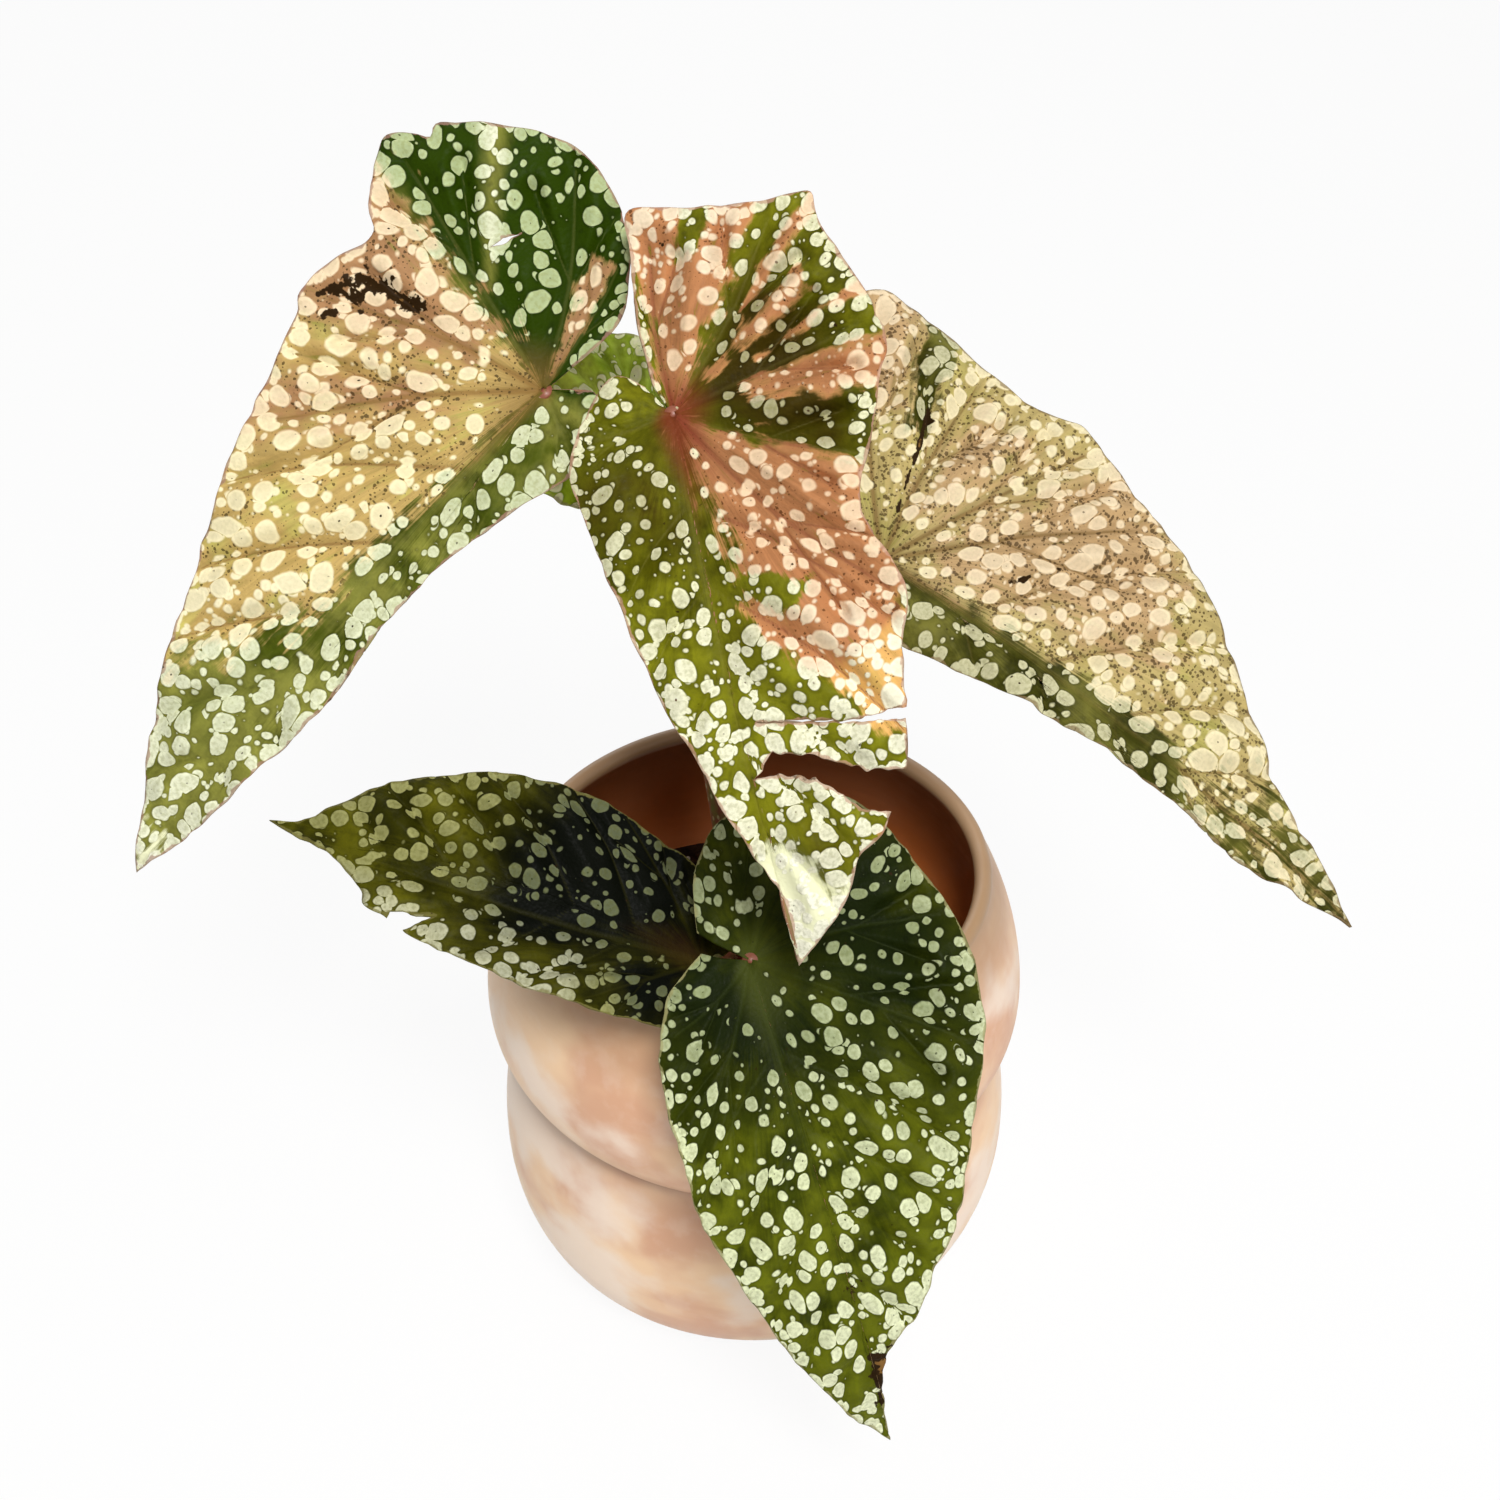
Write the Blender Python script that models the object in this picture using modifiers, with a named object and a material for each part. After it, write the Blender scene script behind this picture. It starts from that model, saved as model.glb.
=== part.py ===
"""A potted begonia: a turned double-bellied ceramic pot, its soil, one cane, and six angel-wing leaves.

The frame is metres with +Z up the axis of the pot and the origin at the centre of its base. Sizes
below are in millimetres. Run with: blender --background --python part.py
"""

from dataclasses import dataclass
from math import cos, hypot, pi, sin

import bmesh
import bpy
from mathutils import Vector

MM = 0.001
FIT_GAP = 0.3  # clearance between two pieces that touch

# ---- pot ----
POT_HEIGHT = 112.0
BASE_RADIUS = 38.0
LOWER_BELLY_RADIUS, LOWER_BELLY_Z = 61.5, 32.0
GROOVE_RADIUS, GROOVE_Z = 56.4, 62.4
UPPER_BELLY_RADIUS, UPPER_BELLY_Z = 62.5, 78.0
MOUTH_RADIUS, MOUTH_Z = 53.7, 109.5
WALL = 4.0
FLOOR_THICKNESS = 6.0
POT_SEGMENTS = 40
ARC_STEPS = 6

# ---- soil ----
SOIL_TOP_Z = 71.0
SOIL_CROWN = 2.0  # how far the middle of the soil stands above its edge

# ---- cane and petioles ----
CANE_RADIUS = 3.0
NODE_SWELL = 1.35  # a cane is this much thicker at the joint where a petiole leaves it
CANE_ROUTE = (
    (-4, 3, 72.4), (-5, 3, 90), (-6, 3, 112), (-7.5, 4, 136), (-11, 6, 160), (-13, 9, 177), (-14, 11, 190),
)
CANE_SWELLS = (1.1, NODE_SWELL, 1.0, NODE_SWELL, NODE_SWELL, 1.2, 0.8)
BUD_LENGTH = 12.0
BUD_RADIUS = 2.2
PETIOLE_RADIUS = 1.6
PETIOLE_FOOT = 1.25  # a petiole is this much thicker where it meets the cane
PETIOLE_STEPS = 4
PETIOLE_BOW = 3.0  # how far the middle of a petiole swings out from the straight way
STEM_CLEARANCE = 0.3  # more than the fit gap, because a stem is slanted where it leaves the cane
BLADE_CLEARANCE = 0.6  # the same for the slanted end of a petiole under its blade

# ---- leaves ----
BLADE_THICKNESS = 0.8
BLADE_RINGS = 5
MARGIN_STEPS = 2  # edges between two points of the outline
FOLD_WIDTH = 3.0  # how wide the rounded bottom of the fold along the midrib is
BACK_LIFT = 3.2  # how much of the arch's steep fall behind the petiole is taken back, of 4
MERGE_DISTANCE = 0.05  # corners of a blade nearer than this become one
RING_CROWDING = 0.8  # under 1, the rings of a blade are closer together towards its margin
SNIP_MARGIN = 8.0  # how far round a cut the faces of a blade are divided


@dataclass(frozen=True)
class Leaf:
    """One blade: where its petiole joins, where its tip is, and its outline in its own flat frame.

    The flat frame has its origin at the petiole, x towards the tip and y to the left of the midrib,
    seen from above. Each margin runs from the notch behind the petiole to the tip.
    """

    name: str
    base: tuple
    tip: tuple
    facing: tuple
    arch: float
    left_fold: float
    right_fold: float
    cup: float
    back_rise: float
    left_margin: tuple
    right_margin: tuple
    cane_height: float
    approach: tuple
    bow: float = 0.0
    cuts: tuple = ()
    colour: tuple = (0.10, 0.14, 0.03)


LEAVES = (
    Leaf(
        "left", (-40, 0, 230), (-122, -45, 148), (0.1, -0.72, 0.70),
        arch=9, left_fold=0.10, right_fold=0.16, cup=-0.0010, back_rise=0.004,
        left_margin=(
            (-4, 5), (-6, 8), (-1, 12), (8, 15), (18, 12), (33, 9), (55, 7), (68, 9), (87, 7), (105, 5),
            (124, 0),
        ),
        right_margin=(
            (-7, 1), (-19, 2), (-29, -4), (-37, -14), (-39, -24), (-35, -33), (-26, -44), (-15, -53),
            (-4, -45.5), (-1, -42), (6, -43.5), (16, -44), (42, -35), (62, -28), (85, -19), (103, -11),
            (124, 0),
        ),
        cane_height=180, approach=(-37, 4, 220), colour=(0.45, 0.40, 0.22),
    ),
    Leaf(
        "centre", (-15, -15, 233), (8, -72, 149), (-0.1, -0.80, 0.60),
        arch=9, left_fold=0.14, right_fold=0.14, cup=-0.0012, back_rise=0.004,
        left_margin=(
            (-6, -2.5), (-19, -3), (-32, -2), (-38, 1), (-36, 12), (-34, 31), (-19, 36), (-5, 40), (13, 35),
            (24, 30), (39, 35), (49, 32), (61, 29.7), (71, 27.7), (81, 21), (85.5, 15.8), (94, 10.6),
            (99, 5.4), (104, 0),
        ),
        right_margin=(
            (-6, -4), (-9, -9), (-4, -15), (6, -20), (21, -18), (38, -15), (54, -11), (70, -6), (80, -3),
            (90, 1), (104, 0),
        ),
        cane_height=172, approach=(-15, -3, 225),
        cuts=(
            ((63.2, 4.8), (65.2, 12.6), (69.6, 12), (68.5, 8.6), (67.4, 5)),
            ((63.2, 4.8), (67.4, 5), (67.4, 0.8)),
            ((65.2, 12.6), (69.3, 20), (76.5, 18.6), (69.6, 12)),
            ((69.3, 20), (71.3, 30), (78.2, 24), (76.5, 18.6)),
        ),
        colour=(0.32, 0.22, 0.10),
    ),
    Leaf(
        "right", (26, 8, 187), (125, -35, 124), (0.15, -0.55, 0.80),
        arch=8, left_fold=0.10, right_fold=-0.45, cup=-0.0008, back_rise=0.003,
        left_margin=(
            (-5, 3), (-16, 6), (-30, 12), (-40, 26), (-41, 40), (-34, 51), (-13, 51), (4, 47), (18, 49),
            (40, 41), (60, 33), (77, 21), (99, 8), (125, 0),
        ),
        right_margin=(
            (-5, -2), (-10, -8), (-4, -13), (8, -13), (26, -10), (48, -7), (74, -6), (98, -6), (125, 0),
        ),
        cane_height=162, approach=(22, 17, 176), colour=(0.45, 0.38, 0.22),
    ),
    Leaf(
        "small_back", (-24, 30, 205), (-65, 30, 212), (-0.2, -0.5, 0.80),
        arch=5, left_fold=0.10, right_fold=0.10, cup=-0.001, back_rise=0.0,
        left_margin=((-4, 2), (-9, 8), (-7, 16), (3, 21), (15, 22), (26, 15), (41, 0)),
        right_margin=((-4, -2), (-9, -8), (-6, -16), (4, -19), (15, -16), (27, -10), (41, 0)),
        cane_height=183, approach=(-23, 34, 196), colour=(0.12, 0.22, 0.03),
    ),
    Leaf(
        "lower_left", (-11, -40, 119), (-100, -25, 145), (0.0, -0.45, 0.89),
        arch=10, left_fold=0.32, right_fold=0.10, cup=-0.001, back_rise=0.0,
        left_margin=(
            (-4, 3), (-6, 8), (-3, 14), (6, 18), (18, 19.4), (38, 20), (52, 18.3), (61, 16.3), (68, 14),
            (71, 9.5), (79, 4), (87, 2), (94, 0),
        ),
        right_margin=(
            (-4, -3), (-6, -9), (2, -16), (16, -20), (30, -23), (44, -22.5), (58, -19), (71, -13), (80, -6.5),
            (87, -1.5), (94, 0),
        ),
        cane_height=86, approach=(-11, -32, 108), bow=5,
        cuts=(((60, 19), (54.5, 12.5), (62, 13.6), (64.5, 19)),), colour=(0.08, 0.10, 0.02),
    ),
    Leaf(
        "front", (-1, -49, 128), (28, -101, 41), (0.0, -0.62, 0.78),
        arch=14, left_fold=0.08, right_fold=0.08, cup=-0.0015, back_rise=0.003,
        left_margin=(
            (-8, -8.5), (-18, -6), (-26, 1), (-29.5, 11), (-27, 23), (-21.5, 32), (-9.5, 37.6), (5, 42.6),
            (20, 42), (29, 39), (38, 34.5), (49, 29), (61, 22.8), (70, 16), (77, 11.5), (84, 3.8), (94, 0.6),
            (106, 0),
        ),
        right_margin=(
            (-4, -9), (2, -18), (16, -24), (34, -24), (49, -23), (67, -17.6), (80, -13), (95, -6.8), (106, 0),
        ),
        cane_height=94, approach=(1, -38, 120), colour=(0.09, 0.13, 0.02),
    ),
)


def clear_scene():
    """Removes every object of the open scene."""
    for item in list(bpy.data.objects):
        bpy.data.objects.remove(item)


def new_collection(name):
    """Makes a collection and links it to the scene."""
    made = bpy.data.collections.new(name)
    bpy.context.scene.collection.children.link(made)
    return made


def material(name, colour, roughness):
    """A plain Principled material."""
    made = bpy.data.materials.new(name)
    made.use_nodes = True
    shader = made.node_tree.nodes["Principled BSDF"]
    shader.inputs["Base Color"].default_value = (*colour, 1)
    shader.inputs["Roughness"].default_value = roughness
    shader.inputs["Metallic"].default_value = 0.0
    return made


def add_object(collection, name, data, finish):
    """Links data to the collection as a named object with one material."""
    item = bpy.data.objects.new(name, data)
    data.materials.append(finish)
    collection.objects.link(item)
    return item


def mesh_from(edit_mesh, name):
    """Turns a BMesh into a mesh and frees it."""
    data = bpy.data.meshes.new(name)
    edit_mesh.to_mesh(data)
    edit_mesh.free()
    return data


# ---- turned pieces ----


def eased(start, end, power, steps):
    """Points between two (radius, z) places; the radius changes slowly at first, then quickly."""
    (r0, z0), (r1, z1) = start, end
    return [(r0 + (r1 - r0) * (i / steps) ** power, z0 + (z1 - z0) * i / steps) for i in range(steps)]


def pot_outside():
    """The outer side of the pot from just under its lip to its base."""
    upper = (UPPER_BELLY_RADIUS, UPPER_BELLY_Z)
    lower = (LOWER_BELLY_RADIUS, LOWER_BELLY_Z)
    groove = (GROOVE_RADIUS, GROOVE_Z)
    mouth = (MOUTH_RADIUS, MOUTH_Z)
    points = eased(upper, mouth, 1.8, ARC_STEPS)[:0:-1]
    points += eased(upper, groove, 2.2, ARC_STEPS)
    points += [groove] + eased(lower, groove, 2.2, ARC_STEPS)[:0:-1]
    for i in range(ARC_STEPS + 1):
        turn = pi / 2 * i / ARC_STEPS
        reach = LOWER_BELLY_RADIUS - BASE_RADIUS
        points.append((BASE_RADIUS + reach * cos(turn) ** 0.8, LOWER_BELLY_Z * (1 - sin(turn))))
    return [(MOUTH_RADIUS, MOUTH_Z)] + points


def lip():
    """The rounded lip, from the inner side over the top to the outer side."""
    middle = MOUTH_RADIUS - WALL / 2
    height = POT_HEIGHT - MOUTH_Z
    turns = [pi - pi * i / 6 for i in range(1, 6)]
    return [(middle + WALL / 2 * cos(a), MOUTH_Z + height * sin(a)) for a in turns]


def inner_radius(z):
    """The radius of the pot's inside at a height: the mean of its outer bellies less the wall."""
    outer = pot_outside()
    for (r0, z0), (r1, z1) in zip(outer, outer[1:]):
        if z1 <= z <= z0 and z0 > z1:
            return r0 + (r1 - r0) * (z0 - z) / (z0 - z1) - WALL
    return BASE_RADIUS


def pot_inside():
    """The inner side from the floor of the pot up to the lip."""
    heights = (12, 20, 32, 46, 56, GROOVE_Z, 69, UPPER_BELLY_Z, 88, 98, 105, MOUTH_Z)
    floor = [(0.0, FLOOR_THICKNESS), (BASE_RADIUS - WALL, FLOOR_THICKNESS)]
    return floor + [(inner_radius(z), z) for z in heights]


def turned(collection, name, profile, finish):
    """A solid of revolution about Z from a closed half profile of (radius, z) points."""
    edit_mesh = bmesh.new()
    corners = [edit_mesh.verts.new((r * MM, 0, z * MM)) for r, z in profile]
    for a, b in zip(corners, corners[1:]):
        edit_mesh.edges.new((a, b))
    item = add_object(collection, name, mesh_from(edit_mesh, name), finish)
    screw = item.modifiers.new("turned", "SCREW")
    screw.steps = screw.render_steps = POT_SEGMENTS
    screw.use_merge_vertices = True
    screw.merge_threshold = 0.00001
    screw.use_smooth_shade = True
    return item


def build_pot(collection):
    """The pot: two bellies with a sharp groove between them, a rounded lip and a hollow inside."""
    finish = material("pot_stoneware", (0.62, 0.47, 0.36), 0.45)
    profile = pot_inside() + lip() + pot_outside() + [(0.0, 0.0)]
    return turned(collection, "pot", profile, finish)


def build_soil(collection):
    """The soil: it fills the lower part of the pot and is a little higher in the middle."""
    finish = material("potting_soil", (0.05, 0.03, 0.02), 0.95)
    edge = SOIL_TOP_Z - SOIL_CROWN
    heights = [z for z in (12, 20, 32, 46, 56, GROOVE_Z) if z < edge]
    side = [(inner_radius(z) - FIT_GAP, z) for z in [edge] + heights[::-1]]
    floor = FLOOR_THICKNESS + FIT_GAP
    top = [(0.0, SOIL_TOP_Z), (22.0, SOIL_TOP_Z - 0.4), (42.0, SOIL_TOP_Z - 1.2)]
    return turned(collection, "soil", top + side + [(BASE_RADIUS - 5, floor), (0.0, floor)], finish)


# ---- leaves ----


class Blade:
    """The curved surface of one leaf, and the way from its flat frame to the world."""

    def __init__(self, leaf):
        self.leaf = leaf
        self.base = Vector(leaf.base)
        along = Vector(leaf.tip) - self.base
        self.length = along.length
        self.forward = along.normalized()
        facing = Vector(leaf.facing)
        self.up = (facing - self.forward * facing.dot(self.forward)).normalized()
        self.left = self.up.cross(self.forward)

    def height(self, x, y):
        """How far the surface stands off the flat frame: an arch, a fold at the bowed midrib and a cup."""
        leaf = self.leaf
        share = x / self.length
        y -= leaf.bow * max(4 * share * (1 - share), 0)
        fold = leaf.left_fold if y > 0 else leaf.right_fold
        rise = leaf.arch * 4 * share * (1 - share) + leaf.cup * y * y
        rise += fold * (hypot(y, FOLD_WIDTH) - FOLD_WIDTH)
        if x < 0:
            rise += leaf.back_rise * x * x + leaf.arch * BACK_LIFT * share * share
        return rise

    def place(self, x, y):
        """The world position of a point of the flat frame, in millimetres."""
        return self.base + self.forward * x + self.left * y + self.up * self.height(x, y)


def smooth_margin(points, steps):
    """A Catmull-Rom curve through the points, as a list that holds both ends."""
    ends = [points[0], *points, points[-1]]
    curve = []
    for p0, p1, p2, p3 in zip(ends, ends[1:], ends[2:], ends[3:]):
        for i in range(steps):
            t = i / steps
            curve.append(
                tuple(
                    0.5
                    * (
                        2 * b
                        + (c - a) * t
                        + (2 * a - 5 * b + 4 * c - d) * t**2
                        + (3 * b - a - 3 * c + d) * t**3
                    )
                    for a, b, c, d in zip(p0, p1, p2, p3)
                )
            )
    return curve + [points[-1]]


def outline(leaf):
    """The margin as one open loop, from the notch by the left side to the tip and back by the right."""
    left = smooth_margin(leaf.left_margin, MARGIN_STEPS)
    right = smooth_margin(leaf.right_margin, MARGIN_STEPS)
    return left + right[-2::-1]


def snip(edit_mesh, corners):
    """Cuts a convex patch, given in the flat frame, out of a flat blade."""
    middle = [sum(c[i] for c in corners) / len(corners) for i in (0, 1)]
    reach = max(hypot(x - middle[0], y - middle[1]) for x, y in corners) + SNIP_MARGIN

    def near(face):
        centre = face.calc_center_median()
        return hypot(centre.x - middle[0], centre.y - middle[1]) < reach

    sides = list(zip(corners, corners[1:] + corners[:1]))
    outward = []
    for (x0, y0), (x1, y1) in sides:
        normal = Vector((y1 - y0, x0 - x1, 0)).normalized()
        start = Vector((x0, y0, 0))
        if normal.dot(Vector((*middle, 0)) - start) > 0:
            normal = -normal
        outward.append((start, normal))
    for start, normal in outward:
        faces = [face for face in edit_mesh.faces if near(face)]
        around = list({v for f in faces for v in f.verts}) + list({e for f in faces for e in f.edges}) + faces
        bmesh.ops.bisect_plane(edit_mesh, geom=around, dist=0.01, plane_co=start, plane_no=normal)
    inside = [
        face
        for face in edit_mesh.faces
        if all((face.calc_center_median() - start).dot(normal) < 0 for start, normal in outward)
    ]
    bmesh.ops.delete(edit_mesh, geom=inside, context="FACES")


def build_leaf(collection, leaf):
    """One leaf blade: a grid wound round the petiole, drawn out to the margin, curved and thickened."""
    finish = material("leaf_" + leaf.name, leaf.colour, 0.5)
    margin = outline(leaf)
    edit_mesh = bmesh.new()
    bmesh.ops.create_grid(edit_mesh, x_segments=len(margin) - 1, y_segments=BLADE_RINGS, size=1)
    order = sorted(edit_mesh.verts, key=lambda v: (round(v.co.y, 5), v.co.x))
    columns = len(margin)
    for index, vertex in enumerate(order):
        ring, column = divmod(index, columns)
        share = (ring / BLADE_RINGS) ** RING_CROWDING
        x, y = margin[column]
        vertex.co = (x * share, y * share, 0)
    bmesh.ops.remove_doubles(edit_mesh, verts=edit_mesh.verts, dist=MERGE_DISTANCE)
    for corners in leaf.cuts:
        snip(edit_mesh, list(corners))
    bmesh.ops.triangulate(edit_mesh, faces=edit_mesh.faces)
    bmesh.ops.recalc_face_normals(edit_mesh, faces=edit_mesh.faces)
    blade = Blade(leaf)
    for vertex in edit_mesh.verts:
        vertex.co = blade.place(vertex.co.x, vertex.co.y) * MM
    item = add_object(collection, "leaf_" + leaf.name, mesh_from(edit_mesh, leaf.name), finish)
    thicken = item.modifiers.new("thickness", "SOLIDIFY")
    thicken.thickness = BLADE_THICKNESS * MM
    thicken.offset = 0.0
    item.data.shade_smooth()
    return item


# ---- stems ----


def stem(collection, name, route, radius, swells, finish):
    """A round stem along a smooth curve through its points, with closed ends."""
    data = bpy.data.curves.new(name, "CURVE")
    data.dimensions = "3D"
    data.bevel_depth = radius * MM
    data.bevel_resolution = 2
    data.use_fill_caps = True
    data.resolution_u = 1
    line = smooth_margin([tuple(p) for p in route], PETIOLE_STEPS)
    thick = smooth_margin([(s,) for s in swells], PETIOLE_STEPS)
    spline = data.splines.new("POLY")
    spline.points.add(len(line) - 1)
    for point, place, swell in zip(spline.points, line, thick):
        point.co = (*(Vector(place) * MM), 1)
        point.radius = swell[0]
    return add_object(collection, name, data, finish)


def cane_point(height):
    """The middle of the cane at a height."""
    for (x0, y0, z0), (x1, y1, z1) in zip(CANE_ROUTE, CANE_ROUTE[1:]):
        if z0 <= height <= z1:
            share = (height - z0) / (z1 - z0)
            return Vector((x0 + (x1 - x0) * share, y0 + (y1 - y0) * share, height))
    return Vector(CANE_ROUTE[-1])


def build_petiole(collection, leaf, finish):
    """The stalk of one leaf, from the side of the cane to the underside of the blade."""
    blade = Blade(leaf)
    approach = Vector(leaf.approach)
    core = cane_point(leaf.cane_height)
    outward = approach - core
    outward.z = 0
    outward.normalize()
    foot = PETIOLE_RADIUS * PETIOLE_FOOT
    steepness = (approach - core).normalized().z
    start = core + outward * (CANE_RADIUS * NODE_SWELL + FIT_GAP + STEM_CLEARANCE + foot * steepness)
    under = blade.base - blade.up * (BLADE_THICKNESS / 2 + FIT_GAP + BLADE_CLEARANCE)
    middle = start.lerp(approach, 0.5) + outward * PETIOLE_BOW
    route = (start, middle, approach, under)
    return stem(collection, "petiole_" + leaf.name, route, PETIOLE_RADIUS, (PETIOLE_FOOT, 1, 1, 0.9), finish)


def build_bud(collection, finish):
    """The rolled young leaf that ends the cane, a slender spindle."""
    top = Vector(CANE_ROUTE[-1])
    upward = (top - Vector(CANE_ROUTE[-2])).normalized()
    foot = top + upward * (FIT_GAP + 0.2)
    route = [foot + upward * (BUD_LENGTH * share) for share in (0, 0.3, 0.6, 0.85, 1)]
    return stem(collection, "terminal_bud", route, BUD_RADIUS, (0.8, 1.0, 0.8, 0.4, 0.12), finish)


def main():
    """Builds the pot, the soil and the plant."""
    clear_scene()
    plant = new_collection("potted_begonia")
    green_stem = material("stem", (0.16, 0.20, 0.05), 0.5)
    build_pot(plant)
    build_soil(plant)
    stem(plant, "cane", CANE_ROUTE, CANE_RADIUS, CANE_SWELLS, green_stem)
    build_bud(plant, green_stem)
    for leaf in LEAVES:
        build_leaf(plant, leaf)
        build_petiole(plant, leaf, green_stem)


main()
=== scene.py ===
"""Looks for a potted begonia: a turned stoneware pot, damp soil, one cane and six spotted angel-wing leaves.

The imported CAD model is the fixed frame. Every visible solid is replaced by a finer piece of the same
size in the same place. Sizes are millimetres in the pot's own frame: the origin is the middle of the
pot's base, +Z is the axis of the pot and -Y is the front.
"""

from __future__ import annotations

import logging
from dataclasses import dataclass, field, replace
from enum import Enum
from math import cos, hypot, pi, radians, sin, tau

import bmesh
import bpy
import numpy as np
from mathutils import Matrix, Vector


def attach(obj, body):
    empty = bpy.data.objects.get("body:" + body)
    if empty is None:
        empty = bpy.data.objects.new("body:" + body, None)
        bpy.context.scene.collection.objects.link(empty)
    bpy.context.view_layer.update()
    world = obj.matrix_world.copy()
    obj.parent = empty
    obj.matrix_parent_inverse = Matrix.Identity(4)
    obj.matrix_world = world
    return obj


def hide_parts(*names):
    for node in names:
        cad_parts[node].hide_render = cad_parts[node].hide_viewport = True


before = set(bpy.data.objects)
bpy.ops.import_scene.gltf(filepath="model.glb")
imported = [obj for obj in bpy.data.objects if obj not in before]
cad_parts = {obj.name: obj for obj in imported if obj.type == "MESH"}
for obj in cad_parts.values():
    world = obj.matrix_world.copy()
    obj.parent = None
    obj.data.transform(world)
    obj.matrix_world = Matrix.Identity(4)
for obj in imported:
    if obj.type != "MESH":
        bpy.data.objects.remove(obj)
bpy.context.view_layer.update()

MM = 0.001
log = logging.getLogger("begonia")

Point2 = tuple[float, float]
Point3 = tuple[float, float, float]
Colour = tuple[float, float, float, float]
Node, Socket = bpy.types.Node, bpy.types.NodeSocket
Value = Node | Socket | float | str | tuple
WHITE = "ffffff"

# The property of a node that its mode sets.
MODES = {
    "Math": "operation",
    "VectorMath": "operation",
    "Mix": "data_type",
    "MapRange": "interpolation_type",
    "TexNoise": "noise_dimensions",
    "TexVoronoi": "voronoi_dimensions",
}


# ---- helpers ----


def linear(hex_colour: str) -> Colour:
    """Turns an sRGB hex colour to linear RGBA.

    Args:
        hex_colour: six hex digits.

    Returns:
        Red, green, blue and alpha, from 0 to 1.
    """
    shown = [int(hex_colour[i : i + 2], 16) / 255 for i in (0, 2, 4)]
    return (*[c / 12.92 if c <= 0.04045 else ((c + 0.055) / 1.055) ** 2.4 for c in shown], 1.0)


def smooth_line(points: tuple | list, steps: int) -> np.ndarray:
    """Draws a Catmull-Rom curve through points.

    Args:
        points: the points, each a tuple of any length.
        steps: edges between two of them.

    Returns:
        The curve's points, both ends among them.
    """
    held = np.array([points[0], *points, points[-1]], float)
    curve = []
    for a, b, c, d in zip(held, held[1:], held[2:], held[3:]):
        for t in np.arange(steps) / steps:
            gentle = 2 * b + (c - a) * t + (2 * a - 5 * b + 4 * c - d) * t * t
            curve.append(0.5 * (gentle + (3 * b - a - 3 * c + d) * t**3))
    return np.array(curve + [held[-1]])


def even_line(points: np.ndarray, count: int) -> np.ndarray:
    """Spaces points evenly along a line of points.

    Args:
        points: the points of the line.
        count: how many points to place.

    Returns:
        The new points, both ends among them.
    """
    lengths = np.hypot(*np.diff(points[:, :2], axis=0).T)
    along = np.concatenate([[0], np.cumsum(lengths)])
    wanted = np.linspace(0, along[-1], count)
    return np.stack([np.interp(wanted, along, points[:, i]) for i in range(points.shape[1])], axis=1)


def distance_to_line(places: np.ndarray, line: np.ndarray) -> np.ndarray:
    """Measures how far each flat place is from a line of points.

    Args:
        places: flat places, one row each.
        line: the points of the line.

    Returns:
        One distance for each place.
    """
    nearest = np.full(len(places), np.inf)
    for start, end in zip(line[:-1], line[1:]):
        edge = end - start
        reach = max(float(edge @ edge), 1e-9)
        share = np.clip((places - start) @ edge / reach, 0, 1)
        gap = places - start - share[:, None] * edge
        nearest = np.minimum(nearest, np.einsum("ij,ij->i", gap, gap))
    return np.sqrt(nearest)


def smoothstep(low: float, high: float, value: np.ndarray) -> np.ndarray:
    """Rises smoothly from 0 at low to 1 at high."""
    share = np.clip((value - low) / (high - low), 0, 1)
    return share * share * (3 - 2 * share)


def deselect_all() -> None:
    """Leaves nothing selected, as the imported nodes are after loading."""
    for item in bpy.context.selected_objects:
        item.select_set(False)


def active_primitive(name: str) -> bpy.types.Object:
    """Names the primitive that was just added.

    Args:
        name: the name for the object and its mesh.

    Returns:
        The primitive.
    """
    item = bpy.context.active_object
    item.name = item.data.name = name
    return item


def apply_modifiers(item: bpy.types.Object) -> None:
    """Applies every modifier of an object, in order.

    Args:
        item: the object.
    """
    deselect_all()
    item.select_set(True)
    bpy.context.view_layer.objects.active = item
    for modifier in list(item.modifiers):
        bpy.ops.object.modifier_apply(modifier=modifier.name)


def store_attribute(mesh: bpy.types.Mesh, name: str, values: np.ndarray) -> None:
    """Keeps three numbers on each vertex under a name that materials read."""
    kept = mesh.attributes.new(name, "FLOAT_VECTOR", "POINT")
    kept.data.foreach_set("vector", np.ascontiguousarray(values, np.float32).ravel())


def vertices_of(mesh: bpy.types.Mesh) -> np.ndarray:
    """Reads where the vertices of a mesh are.

    Args:
        mesh: the mesh.

    Returns:
        One row of x, y and z for each vertex.
    """
    places = np.empty(len(mesh.vertices) * 3, np.float32)
    mesh.vertices.foreach_get("co", places)
    return places.reshape(-1, 3).astype(float)


def move_vertices(mesh: bpy.types.Mesh, places: np.ndarray) -> None:
    """Puts each vertex of a mesh at the place in its row."""
    mesh.vertices.foreach_set("co", np.ascontiguousarray(places, np.float32).ravel())
    mesh.update()


def finish_piece(item: bpy.types.Object, slot: str, *nodes: str) -> None:
    """Attaches a piece to the root body and hides the CAD nodes that it stands for.

    Args:
        item: the piece, in place.
        slot: not used.
        nodes: the CAD nodes that it stands for.
    """
    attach(item, "root")
    if nodes:
        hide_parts(*nodes)
    log.info("%s: %d faces", item.name, len(item.data.polygons))


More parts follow.
